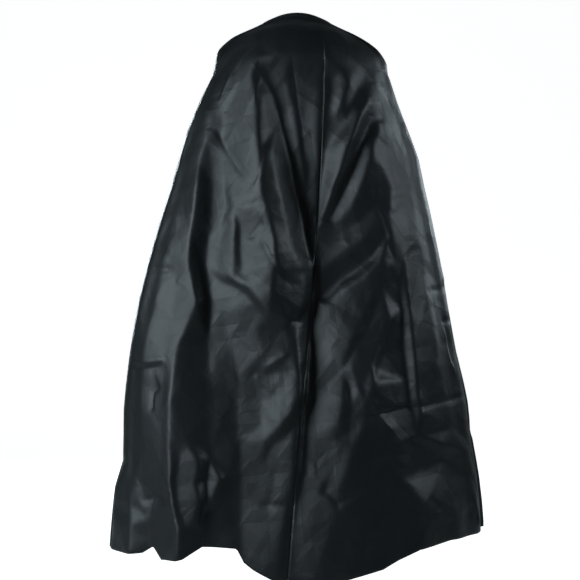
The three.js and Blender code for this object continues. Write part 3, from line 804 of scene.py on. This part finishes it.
def mottle(tree, factor, dark, light):
    """A colour between dark and light, by a factor held within 0 and 1."""
    return add_node(tree, "ShaderNodeMix", {"data_type": "RGBA"},
                    {"Factor": factor.clamped(), 6: (*dark, 1), 7: (*light, 1)}, 2)


def feed(tree, shader, colour, gloss, relief):
    """Gives a shader its colour, its roughness and its relief, in metres, through a bump."""
    bump = add_node(tree, "ShaderNodeBump", {}, {"Strength": 1.0, "Distance": 1.0, "Height": relief})
    for name, value in (("Base Color", colour), ("Roughness", gloss), ("Normal", bump)):
        tree.links.new(value.link, shader.inputs[name])


def noise(tree, place, scale, detail=3.0, roughness=0.5):
    inputs = {"Vector": place, "Scale": scale, "Detail": detail, "Roughness": roughness}
    return add_node(tree, "ShaderNodeTexNoise", {}, inputs)


CREASE_TURN = (0.3, 0.9, 0.4)  # radians, so that the creases run aslant


def facet_heights(tree, place, scale):
    """Flat-sided dents with straight creases between them, as in cloth that was packed folded."""
    settings = {"distance": "CHEBYCHEV"}
    return add_node(tree, "ShaderNodeTexVoronoi", settings, {"Vector": place, "Scale": scale})


FACETS_LARGE = (5.0, 0.011)  # (scale, height in metres)
FACETS_SMALL = (13.0, 0.0034)
CRINKLE_HEIGHT = 0.0008
WEAVE_HEIGHT = 0.00006


def satin_material(name, colour, roughness):
    """Thin polyester satin: near black, faintly blue, with a soft sheen and a fine weave."""
    material, tree, shader = new_material(name)
    place = add_node(tree, "ShaderNodeTexCoord", {}, {}, "Object")
    soft = noise(tree, place, 9.0)
    fine = noise(tree, place, 900.0, 2.0)
    dark, light = (tuple(c * k for c in colour) for k in (0.75, 1.35))
    mixed = mottle(tree, soft * 0.5 + fine * 0.5, dark, light)
    gloss = roughness + (soft - 0.5) * 0.12 + (fine - 0.5) * 0.08
    turned = add_node(tree, "ShaderNodeMapping", {}, {"Vector": place, "Rotation": CREASE_TURN})
    large = facet_heights(tree, turned, FACETS_LARGE[0]) * FACETS_LARGE[1]
    small = facet_heights(tree, turned, FACETS_SMALL[0]) * FACETS_SMALL[1]
    crinkle = noise(tree, place, 24.0, 5.0, 0.62) * CRINKLE_HEIGHT + fine * WEAVE_HEIGHT
    feed(tree, shader, mixed, gloss, large + small + crinkle)
    shader.inputs["Specular IOR Level"].default_value = 0.5
    shader.inputs["Anisotropic"].default_value = 0.2
    shader.inputs["Sheen Weight"].default_value = 0.05
    shader.inputs["Sheen Roughness"].default_value = 0.4
    return material


def plain_material(name, colour, roughness, grain, depth, coat=0.0):
    """A material with fine grain in its colour, roughness and bump, such as thread or nylon."""
    material, tree, shader = new_material(name)
    place = add_node(tree, "ShaderNodeTexCoord", {}, {}, "Object")
    fine = noise(tree, place, grain, 2.0)
    broad = noise(tree, place, grain / 12, 2.0)
    dark, light = tuple(c * 0.7 for c in colour), tuple(min(c * 1.3, 1) for c in colour)
    mixed = mottle(tree, fine * 0.6 + broad * 0.4, dark, light)
    feed(tree, shader, mixed, roughness + (broad - 0.5) * 0.2, fine * depth)
    shader.inputs["Coat Weight"].default_value = coat
    return material


RIB_WAVE = 9000  # radians for each metre down the ribbon
THREAD_WAVE = 7000  # and across it
SELVEDGE = 0.0022
RIB_HEIGHT = 0.00008
SELVEDGE_HEIGHT = 0.0001


def ribbon_material(name):
    """Woven polyester ribbon: fine ribs across it, and a firmer selvedge down each side."""
    material, tree, shader = new_material(name)
    uv = add_node(tree, "ShaderNodeUVMap", {"uv_map": "cloth"}, {})
    u = add_node(tree, "ShaderNodeSeparateXYZ", {}, {0: uv}, "X")
    v = Socket(tree, u.link.node.outputs["Y"])
    ribs = (v * RIB_WAVE).sine() * 0.5 + 0.5
    threads = (u * THREAD_WAVE).sine() * 0.5 + 0.5
    low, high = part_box("size_label")
    near_side = u.math("LESS_THAN", u.math("MINIMUM", u, (high.x - low.x) - u), SELVEDGE)
    weave = ribs * 0.6 + threads * 0.4
    mixed = mottle(tree, weave * 0.5 + near_side * 0.5, (0.62, 0.61, 0.58), (0.82, 0.81, 0.78))
    feed(tree, shader, mixed, 0.6 - near_side * 0.15, weave * RIB_HEIGHT + near_side * SELVEDGE_HEIGHT)
    return material


# ---- The panels -------------------------------------------------------------------------

BACK_COLUMNS = 142
FRONT_COLUMNS = 46
BACK_END = math.radians(97)
ROWS = 254
ROW_SPREAD = 1.05  # rows lie closer at the neck


def edge_angle(share):
    """The front edge's angle, in a straight line from the neck to the hem."""
    return EDGE_AT_NECK + (EDGE_AT_HEM - EDGE_AT_NECK) * share


def seam_angle(share):
    """The seam's angle: it turns soonest just below the binding, as the cape hangs off centre."""
    top = BINDING_WIDTH / BACK[2]
    below_binding = np.maximum(share - top, 0) / (1 - top)
    return SEAM_AT_NECK + (SEAM_AT_HEM - SEAM_AT_NECK) * below_binding**SEAM_CURVE


def panel_places(side):
    """Angles and shares of a panel's grid: fine columns over the back, wider ones in front."""
    shares = np.linspace(0, 1, ROWS) ** ROW_SPREAD
    edge = edge_angle(shares)[:, None]
    seam = side * seam_angle(shares)[:, None]
    back = seam + (BACK_END - seam) * np.linspace(0, 1, BACK_COLUMNS)[None, :]
    t = np.linspace(0, 1, FRONT_COLUMNS + 1)[None, 1:]
    front = BACK_END + (edge - BACK_END) * t
    angles = side * np.hstack([back, front])
    if side < 0:
        angles = angles[:, ::-1]
    return angles, shares[:, None].repeat(angles.shape[1], 1)


def cloth_uv(points):
    """Metres round and down, measured along the cloth."""
    across = np.linalg.norm(np.diff(points, axis=1), axis=2)
    down = np.linalg.norm(np.diff(points, axis=0), axis=2)
    u = np.pad(np.cumsum(across, axis=1), ((0, 0), (1, 0)))
    v = -np.pad(np.cumsum(down, axis=0), ((1, 0), (0, 0)))
    return np.stack([u, v], axis=-1)


def finish_piece(piece, material, body="cape", replaces=()):
    """Gives a piece its material and slot, the body it rides on and the nodes it stands for."""
    piece.data.materials.append(material)
    if body:
        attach(piece, body)
    if replaces:
        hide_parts(*replaces)
    return piece


def panel(name, side, material):
    angles, shares = panel_places(side)
    points = folded(angles, shares)
    piece = grid_mesh(name + "_cloth", points, cloth_uv(points))
    thicken(piece, SATIN)
    return finish_piece(piece, material, replaces=[name])


# ---- Places on the cloth ----------------------------------------------------------------

NUDGE = 1e-3  # of an angle or a share, to measure how the cloth runs


def reach_per_turn(angle, share):
    """Metres along the cloth for each radian round."""
    step = folded(angle + NUDGE, share) - folded(angle - NUDGE, share)
    return np.linalg.norm(step, axis=-1) / (2 * NUDGE)


def lifted(angle, share, lift):
    """A place on the cape, moved out along its normal by lift: in, if lift is negative.

    The normal is the cross product of the steps down and round.
    """
    angle, share, lift = np.broadcast_arrays(np.asarray(angle, float), share, lift)
    above, below = np.maximum(share - NUDGE, 0), np.minimum(share + NUDGE, 1)
    down = folded(angle, below) - folded(angle, above)
    across = folded(angle + NUDGE, share) - folded(angle - NUDGE, share)
    return folded(angle, share) + unit(np.cross(down, across)) * lift[..., None]


def near_neck(angle, down, lift):
    """A place down metres below the neck edge, or above it along the cloth if down is negative."""
    angle, down, lift = np.broadcast_arrays(np.asarray(angle, float), down, lift)
    share = down / BACK[2]
    above = unit(folded(angle, np.zeros_like(share)) - folded(angle, np.full_like(share, NUDGE)))
    return lifted(angle, np.maximum(share, 0), lift) + above * np.maximum(-down, 0)[..., None]


# ---- Turnings ---------------------------------------------------------------------------

TURNING_ROWS = 5
TURNING_TOP = 0.002  # below the binding


def turning(name, angles, shares, lifts, material):
    """A turned edge: a strip inside the cape whose first column or row meets the folded edge."""
    points = lifted(angles, shares, lifts)
    piece = grid_mesh(name, points, cloth_uv(points))
    thicken(piece, SATIN)
    return finish_piece(piece, material)


def inside_lift(count):
    """Lifts for a turning: on the cloth at its fold, and clear of it from there on."""
    return np.where(np.arange(count) == 0, -SATIN / 2, -SATIN - GAP)


def hem_turning(side, material):
    angles, _ = panel_places(side)
    shares = 1 - HEM_WIDTH / BACK[2] * np.linspace(0, 1, TURNING_ROWS) ** 2
    angles = angles[-1:].repeat(TURNING_ROWS, 0)[::-1]
    name = ("left" if side < 0 else "right") + "_hem"
    return turning(name, angles, shares[::-1, None], inside_lift(TURNING_ROWS)[::-1, None], material)


def side_turning(name, side, line, width, material):
    """A turning down one side of a panel, from the line to width further into the panel."""
    shares = np.linspace(BINDING_WIDTH / BACK[2] + TURNING_TOP, 1 - HEM_WIDTH / BACK[2], ROWS)
    edge = line(shares)
    into = width / reach_per_turn(edge, shares)
    steps = np.linspace(0, 1, TURNING_ROWS) ** 2
    angles = edge[:, None] + side * into[:, None] * steps
    lifts = inside_lift(TURNING_ROWS)[None, :]
    if side < 0:
        angles, lifts = angles[:, ::-1], lifts[:, ::-1]
    return turning(name, angles, shares[:, None], lifts, material)


# ---- Stitches ---------------------------------------------------------------------------

STITCH_RINGS = [(-1.0, 0.35), (-0.6, 1.0), (0.6, 1.0), (1.0, 0.35)]  # (along, across)


def capsules(name, centres, alongs, ups, length, width, height):
    """Small rods, one at each centre: four rings of four points, narrower at both ends.

    A ring's points are centre + along * t * length / 2 and then +-side * width / 2 or
    +-up * height / 2, times the ring's own share.
    """
    sides = np.cross(ups, alongs)
    rings = []
    for t, share in STITCH_RINGS:
        middle = centres + alongs * (t * length / 2)
        spokes = [ups * height / 2, sides * width / 2, -ups * height / 2, -sides * width / 2]
        rings.append(np.stack([middle + spoke * share for spoke in spokes], axis=1))
    points = np.stack(rings, axis=1).reshape(-1, 3)
    ring = np.arange(4)
    following = (ring + 1) % 4
    bands = [np.stack([ring, following, 4 + following, 4 + ring], 1) + 4 * k for k in range(3)]
    one = np.vstack([*bands, [[3, 2, 1, 0], [12, 13, 14, 15]]])
    quads = (one[None] + 16 * np.arange(len(centres))[:, None, None]).reshape(-1, 4)
    return mesh_piece(name, points, quads)


STITCH_PITCH = 0.0042
STITCH_LENGTH = 0.0032
STITCH_WIDTH = 0.0006
STITCH_HEIGHT = 0.0004
LINE_POINTS = 400
HEM_POINTS = 500
FURTHER = 0.001  # outwards, to tell which way is up


def at_places(places, run, values):
    """Rows of three numbers, read at places between the ones given along a run."""
    return np.stack([np.interp(places, run, values[:, k]) for k in range(3)], 1)


def stitches(name, lines, material, body="cape", replaces=(), pitch=STITCH_PITCH):
    """Rows of stitches along lines, each a pair of point arrays: on the cloth, and a little above."""
    parts = []
    for line, above in lines:
        run = run_along(line)
        places = np.arange(pitch / 2, run[-1], pitch)
        ahead = at_places(places + pitch / 4, run, line)
        behind = at_places(places - pitch / 4, run, line)
        along = unit(ahead - behind)
        up = at_places(places, run, above - line)
        up = unit(up - along * (up * along).sum(1, keepdims=True))
        parts.append((at_places(places, run, line), along, up))
    centre, along, up = (np.vstack(column) for column in zip(*parts))
    piece = capsules(name, centre, along, up, STITCH_LENGTH, STITCH_WIDTH, STITCH_HEIGHT)
    return finish_piece(piece, material, body, replaces)


def cloth_line(angles, shares, lift):
    """A line on the cloth at a lift, and the same line a little further out."""
    return lifted(angles, shares, lift), lifted(angles, shares, lift + FURTHER)


def panel_stitches(material):
    """The hems', front edges' and centre seam's stitches."""
    hem_share = 1 - HEM_WIDTH / BACK[2]
    shares = np.linspace((TAB_TOP + TAB_WIDTH) / FRONT[2] + 0.01, hem_share, LINE_POINTS)
    for side, word in ((-1, "left"), (1, "right")):
        angles = np.linspace(seam_angle(hem_share), side * edge_angle(hem_share), HEM_POINTS)
        edge = edge_angle(shares)
        inner = side * (edge - (EDGE_WIDTH - STITCH_IN) / reach_per_turn(edge, shares))
        for row, line in (("hem", (angles, hem_share)), ("edge", (inner, shares))):
            stitches(f"{word}_{row}_stitches", [cloth_line(*line, STITCH_HEIGHT / 4)], material,
                     replaces=[f"{word}_{row}_thread"])
    shares = np.linspace(BINDING_WIDTH / BACK[2] + 0.004, hem_share, LINE_POINTS)
    lifts = -(2 * SATIN + GAP + STITCH_HEIGHT / 2)
    line, above = cloth_line(seam_angle(shares), shares, lifts)
    stitches("seam_stitches", [(line, 2 * line - above)], material, replaces=["centre_seam_thread"])


# ---- The neck binding -------------------------------------------------------------------

NECK_COLUMNS = 420
BINDING_RIPPLES = 95  # round the neck
BINDING_RIPPLE = 0.00022
PUCKER_START = 0.004  # the puckers set in over this, below the fold


def binding_outline():
    """(down, lift) across the binding: its outer leg, the fold over the edge, its inner leg."""
    leg = np.linspace(BINDING_WIDTH, 0, 9)
    outer, inner = GAP + BINDING_CLOTH / 2, -SATIN - GAP - BINDING_CLOTH / 2
    turn = np.linspace(0, math.pi, 9)[1:-1]
    middle, radius = (outer + inner) / 2, (outer - inner) / 2
    over = [(-radius * math.sin(t), middle + radius * math.cos(t)) for t in turn]
    return np.array([(d, outer) for d in leg] + over + [(d, inner) for d in leg[::-1]])


def neck_binding(material):
    """The binding's outline carried round the neck, with small puckers on both legs."""
    angles = np.linspace(-EDGE_AT_NECK, EDGE_AT_NECK, NECK_COLUMNS)
    outline = binding_outline()
    pucker = BINDING_RIPPLE * np.sin(BINDING_RIPPLES * angles + 2 * np.sin(7 * angles))
    down, lift = outline[:, :1], outline[:, 1:]
    on_leg = smoothstep(down, 0, PUCKER_START)
    points = near_neck(angles[None, :], down, lift + np.sign(lift) * on_leg * (pucker + BINDING_RIPPLE))
    piece = grid_mesh("neck_binding_tape", points[::-1], cloth_uv(points[::-1]))
    thicken(piece, BINDING_CLOTH, 0)
    return finish_piece(piece, material, replaces=["neck_binding"])


def binding_stitches(material):
    end = EDGE_AT_NECK - 0.02
    angles = np.linspace(-end, end, LINE_POINTS)
    lift = GAP + BINDING_CLOTH + 2 * BINDING_RIPPLE
    line, above = (near_neck(angles, BINDING_WIDTH - STITCH_IN, out) for out in (lift, lift + FURTHER))
    return stitches("binding_stitches", [(line, above)], material, replaces=["binding_thread"])


# ---- The closing tab and its tapes ------------------------------------------------------

LOOP_TOP = GAP + TAPE
HOOK_TOP = LOOP_TOP + GAP + TAPE
TAB_OVER_TAPE = HOOK_TOP + GAP
TAB_COLUMNS = 90
TAB_ROWS = 28
GAP_COLUMNS = 12  # over the opening between the panels
BEND_START = 0.002  # from the hinge towards the root, and past it
BEND_END = 0.006
QUILT_HEIGHT = 0.00012
QUILT_ALONG, QUILT_ACROSS = 260, 5  # waves, in radians for each radian round and half width
TAB_BEVEL = 0.3  # of its cloth
ROOT_ROW_PITCH = 0.0025


def on_right(in_from_edge, share):
    """The angle of a place on the right front, in metres in from its edge."""
    return edge_angle(share) - in_from_edge / reach_per_turn(edge_angle(share), share)


def on_left(in_from_edge, share):
    return 2 * math.pi - on_right(in_from_edge, share)


def tab_places(low, high, first, last, columns=TAB_COLUMNS, rows=TAB_ROWS):
    """Angles and shares over the closed tab: low to high across its width, as shares of it, and
    first to last along it, in metres in from the right panel's edge or, if negative, from the
    left panel's. The gap between the panels is crossed in even steps.
    """
    share = ((TAB_TOP + np.linspace(low, high, rows) * TAB_WIDTH) / FRONT[2])[:, None]
    gap_steps = GAP_COLUMNS if first > 0 > last else 0
    right = np.linspace(first, 0, columns // 3) if first > 0 else np.zeros(0)
    left = np.linspace(0 if first > 0 else -first, -last, columns - len(right))
    parts = [on_right(right[None, :], share)] if len(right) else []
    if gap_steps:
        t = np.linspace(0, 1, gap_steps + 2)[None, 1:-1]
        parts.append(on_right(0.0, share) * (1 - t) + on_left(0.0, share) * t)
    parts.append(on_left(left[None, :], share))
    angles = np.hstack(parts)
    return angles, share.repeat(angles.shape[1], 1)


def tab_lift(angles, shares):
    """The tab's under side: near the cloth at its root, and over the tapes on the left panel."""
    start, end = edge_angle(shares), 2 * math.pi - edge_angle(shares)
    t = smoothstep((angles - start) / (end - start), 0, 1)
    return GAP + (TAB_OVER_TAPE - GAP) * t


def tab_hinge():
    """The middle of the tab's hinge, and the way from there towards its root."""
    share = (TAB_TOP + TAB_WIDTH / 2) / FRONT[2]
    places = [lifted(on_right(d, share), share, GAP) for d in (TAB_ROOT, 0.0)]
    joint = next(j for j in frame["joints"] if j["name"] == "tab_hinge")
    return np.array(joint["pos_m"]), unit(places[0] - places[1])


def with_hinge(piece):
    """Bakes a piece of the tab's transform into its mesh. The hinge's middle and way are worked out and
    passed along, but nothing bends the piece.
    """
    middle, way = tab_hinge()
    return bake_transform(piece, "cape", "closing_tab", start=tuple(middle + way * BEND_START),
                    end=tuple(middle - way * BEND_END))


def closing_tab(material):
    """A strap of folded satin: the tab's places lifted off the cloth, quilted by two sines."""
    angles, shares = tab_places(0, 1, TAB_ROOT, -TAB_END)
    across = np.linspace(-1, 1, TAB_ROWS)[:, None]
    quilt = QUILT_HEIGHT * (1 - np.abs(across) ** 8) * np.sin(angles * QUILT_ALONG)
    quilt = quilt * np.sin(across * QUILT_ACROSS)
    lift = tab_lift(angles, shares) + TAB_CLOTH / 2 + quilt
    points = lifted(angles, shares, lift)
    piece = grid_mesh("closing_tab_strap", points, cloth_uv(points))
    thicken(piece, TAB_CLOTH, 0)
    bevel = piece.modifiers.new("edges", "BEVEL")
    bevel.width = TAB_CLOTH * TAB_BEVEL
    bevel.segments = 2
    finish_piece(piece, material, None, ["closing_tab"])
    return with_hinge(piece)


def tab_stitches(material):
    """Stitches round the tab, a short way in from its edge, and twice across its root."""
    inset = STITCH_IN / TAB_WIDTH
    angles, shares = tab_places(inset, 1 - inset, TAB_ROOT - STITCH_IN, -TAB_END + STITCH_IN)
    round_tab = [tab_line(angles[row], shares[row]) for row in (0, -1)]
    round_tab.append(tab_line(angles[:, -1], shares[:, -1]))
    across_root = []
    for inward in (STITCH_IN, STITCH_IN + ROOT_ROW_PITCH):
        angles, shares = tab_places(inset, 1 - inset, TAB_ROOT - inward, -TAB_END)
        across_root.append(tab_line(angles[:, 0], shares[:, 0]))
    with_hinge(stitches("tab_edge_stitches", round_tab, material, None))
    with_hinge(stitches("tab_root_stitches", across_root, material, None, ["tab_root_thread"]))


def tab_line(angles, shares):
    """A line on the tab's upper side, and the same line a little further out."""
    return cloth_line(angles, shares, tab_lift(angles, shares) + TAB_CLOTH + STITCH_HEIGHT / 4)


def tape_places(columns, rows):
    margin = TAPE_MARGIN / TAB_WIDTH
    return tab_places(margin, 1 - margin, -TAPE_IN, -(TAB_END - TAPE_MARGIN), columns, rows)


TAPE_GRID = (24, 20)
PILE_SEED = 7


def tape_base(name, low, high, material, body, replaces):
    """The woven base of a tape, between two lifts over the left panel."""
    angles, shares = tape_places(*TAPE_GRID)
    points = lifted(angles, shares, (low + high) / 2)
    piece = grid_mesh(name, points, cloth_uv(points))
    thicken(piece, high - low, 0)
    return finish_piece(piece, material, body, replaces)


def pile(name, lift, up_sign, count, height, width, spread, material, body):
    """Short fibres standing on a tape: even rows, each fibre nudged and leant by chance."""
    chance = np.random.default_rng(PILE_SEED)
    angles, shares = tape_places(count, count)
    points = lifted(angles, shares, lift)
    above = lifted(angles, shares, lift + FURTHER * up_sign)
    up = unit((above - points).reshape(-1, 3))
    lean = unit(up + chance.normal(0, spread, up.shape))
    side = unit(np.cross(lean, [0.0, 0.0, 1.0]))
    centres = points.reshape(-1, 3) + lean * height / 2
    piece = capsules(name, centres, lean, side, height, width, width)
    return finish_piece(piece, material, body)


def tapes(hook_material, loop_material):
    """Hooks on the tab and loops on the left panel, each on its own base."""
    tape_base("loop_tape_base", GAP, GAP + LOOP_BASE, loop_material, "cape", ["loop_tape"])
    pile("loop_tape_pile", GAP + LOOP_BASE, 1, count=34, height=0.0007, width=0.0005, spread=0.6,
         material=loop_material, body="cape")
    tape_base("hook_tape_base", HOOK_TOP - LOOP_BASE, HOOK_TOP, hook_material,
              "closing_tab", ["hook_tape"])
    pile("hook_tape_hooks", HOOK_TOP - LOOP_BASE, -1, count=20, height=0.0008, width=0.00035, spread=0.12,
         material=hook_material, body="closing_tab")


# ---- The size label ---------------------------------------------------------------------

LABEL_ROWS = 40
LABEL_COLUMNS = 24
LABEL_BOW = 0.0006
LABEL_CLOTH = 0.7  # of the node's thickness
LABEL_PITCH = 0.0026
LABEL_POINTS = 30


def size_label(material, thread):
    """A blank woven label that hangs from its sewn top edge, bowed a little towards its foot.

    x and z run evenly between the node's corners, and y = middle + bow * t^2 * (1 - u^2), with
    t from 0 at the top to 1 at the foot and u from -1 to 1 across.
    """
    low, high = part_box("size_label")
    u = np.linspace(-1, 1, LABEL_COLUMNS)[None, :]
    t = np.linspace(0, 1, LABEL_ROWS)[:, None]
    middle = (low + high) / 2
    x = middle.x + u * (high.x - low.x) / 2 + 0 * t
    y = middle.y + LABEL_BOW * t**2 * (1 - u**2)
    z = high.z + (low.z - high.z) * t + 0 * u
    points = np.stack([x, y, z], axis=-1)
    piece = grid_mesh("size_label_ribbon", points, cloth_uv(points))
    thicken(piece, (high.y - low.y) * LABEL_CLOTH, 0)
    finish_piece(piece, material, "size_label", ["size_label"])
    line = np.stack([np.linspace(low.x + 0.002, high.x - 0.002, LABEL_POINTS),
                     np.full(LABEL_POINTS, high.y), np.full(LABEL_POINTS, high.z - STITCH_IN / 2)], axis=-1)
    stitches("label_stitches", [(line, line + (0, FURTHER, 0))], thread, "size_label", pitch=LABEL_PITCH)


# ---- Camera, light and floor ------------------------------------------------------------

CAMERA_DISTANCE = 2.8
CAMERA_ASIDE = -0.0175
VIEW_WIDTH = 1.45  # what the view takes in at the middle of the cape


def camera():
    data = bpy.data.cameras.new("camera")
    data.sensor_width = 36
    data.lens = data.sensor_width * CAMERA_DISTANCE / VIEW_WIDTH
    holder = add_object("camera", data)
    holder.location = (CAMERA_ASIDE, -CAMERA_DISTANCE, EYE_HEIGHT)
    holder.rotation_euler = (math.pi / 2, 0, 0)
    bpy.context.scene.camera = holder


def softbox(name, place, target, size, power, colour):
    data = bpy.data.lights.new(name, "AREA")
    data.shape = "RECTANGLE"
    data.size, data.size_y = size
    data.energy = power
    data.color = colour
    holder = add_object(name, data)
    holder.location = place
    aim = Vector(target) - Vector(place)
    holder.rotation_euler = aim.to_track_quat("-Z", "Y").to_euler()


SKY_TO_CAMERA = 0.97
SKY_LIGHT = 0.046
FLOOR_GLOW = 0.93  # to the camera only
FLOOR_HEIGHT = -1.52
FLOOR_REACH = 6  # to each side
FLOOR_START, FLOOR_LENGTH = -4, 10
FLOOR_RISE = 7.0
FLOOR_COLUMNS, FLOOR_ROWS = 25, 60


def shade_by_ray(tree, others, for_camera, output_kind):
    """Shows one shader to the camera and another to every other ray."""
    seen = add_node(tree, "ShaderNodeLightPath", {}, {}, "Is Camera Ray")
    mixed = add_node(tree, "ShaderNodeMixShader", {}, {0: seen, 1: others, 2: for_camera})
    output = tree.nodes.new(output_kind)
    tree.links.new(mixed.link, output.inputs["Surface"])


def empty_tree(holder):
    """A world's or material's own node tree, with nothing in it."""
    holder.use_nodes = True
    holder.node_tree.nodes.clear()
    return holder.node_tree


def world():
    """White to the camera, and dim to everything else, so that only the softboxes shine."""
    studio = bpy.data.worlds.new("studio")
    bpy.context.scene.world = studio
    tree = empty_tree(studio)
    dim = add_node(tree, "ShaderNodeBackground", {},
                   {"Color": (0.75, 0.85, 0.9, 1), "Strength": SKY_LIGHT})
    white = add_node(tree, "ShaderNodeBackground", {}, {"Color": (1, 1, 1, 1), "Strength": SKY_TO_CAMERA})
    shade_by_ray(tree, dim, white, "ShaderNodeOutputWorld")


def floor():
    """A pale floor under the wearer's feet, that curves up far behind."""
    x = np.linspace(-FLOOR_REACH, FLOOR_REACH, FLOOR_COLUMNS)[None, :]
    run = np.linspace(0, 1, FLOOR_ROWS)[:, None]
    y = FLOOR_START + FLOOR_LENGTH * run
    z = FLOOR_HEIGHT + FLOOR_RISE * smoothstep(run, 0.7, 1.0) ** 1.5
    points = np.stack(np.broadcast_arrays(x, y, z), axis=-1)
    piece = grid_mesh("floor", points[::-1])
    material = bpy.data.materials.new("floor")
    tree = empty_tree(material)
    paint = add_node(tree, "ShaderNodeBsdfDiffuse", {}, {"Color": (0.5, 0.5, 0.5, 1)})
    glow = add_node(tree, "ShaderNodeEmission", {}, {"Color": (1, 1, 1, 1), "Strength": FLOOR_GLOW})
    pale = add_node(tree, "ShaderNodeAddShader", {}, {0: paint, 1: glow})
    shade_by_ray(tree, paint, pale, "ShaderNodeOutputMaterial")
    piece.data.materials.append(material)


def lights():
    """Four softboxes: each one's place, what it faces, its size in metres and its power."""
    cool = (0.79, 0.93, 1.0)
    softbox("left softbox", (-2.1, -1.3, -0.1), (0, -0.15, -0.45), (1.0, 1.4), 41, cool)
    softbox("right softbox", (2.0, -0.6, 0.3), (0, -0.15, -0.45), (0.8, 0.8), 14, cool)
    softbox("front left softbox", (-1.3, 2.4, -0.1), (0, 0.1, -0.7), (0.5, 1.4), 48, cool)
    softbox("front right softbox", (2.2, 1.9, 0.2), (0, 0.1, -0.6), (0.5, 1.0), 24, cool)


# ---- The assembly -----------------------------------------------------------------------

bpy.context.scene.view_settings.view_transform = "Standard"
camera()
world()
floor()
lights()

satin = satin_material("satin", (0.0045, 0.0064, 0.0076), 0.49)
binding_satin = satin_material("binding satin", (0.0065, 0.0085, 0.0098), 0.38)
thread = plain_material("thread", (0.008, 0.0088, 0.0095), 0.55, 2500.0, 0.00006)
hook_nylon = plain_material("hook nylon", (0.007, 0.007, 0.0075), 0.42, 1800.0, 0.00004, 0.2)
loop_pile = plain_material("loop pile", (0.012, 0.012, 0.0125), 0.95, 1400.0, 0.00012)
label_ribbon = ribbon_material("label ribbon")

left = panel("left_panel", -1, satin)
right = panel("right_panel", 1, satin)
hems = [hem_turning(side, satin) for side in (-1, 1)]
edge_turnings = [side_turning("left_edge_turning", 1, lambda share: -edge_angle(share), EDGE_WIDTH, satin),
                 side_turning("right_edge_turning", -1, edge_angle, EDGE_WIDTH, satin)]
seam_turnings = [side_turning("left_seam_turning", -1, seam_angle, SEAM_WIDTH, satin),
                 side_turning("right_seam_turning", 1, seam_angle, SEAM_WIDTH, satin)]
panel_stitches(thread)
neck_binding(binding_satin)
binding_stitches(thread)
closing_tab(binding_satin)
tab_stitches(thread)
tapes(hook_nylon, loop_pile)
size_label(label_ribbon, thread)
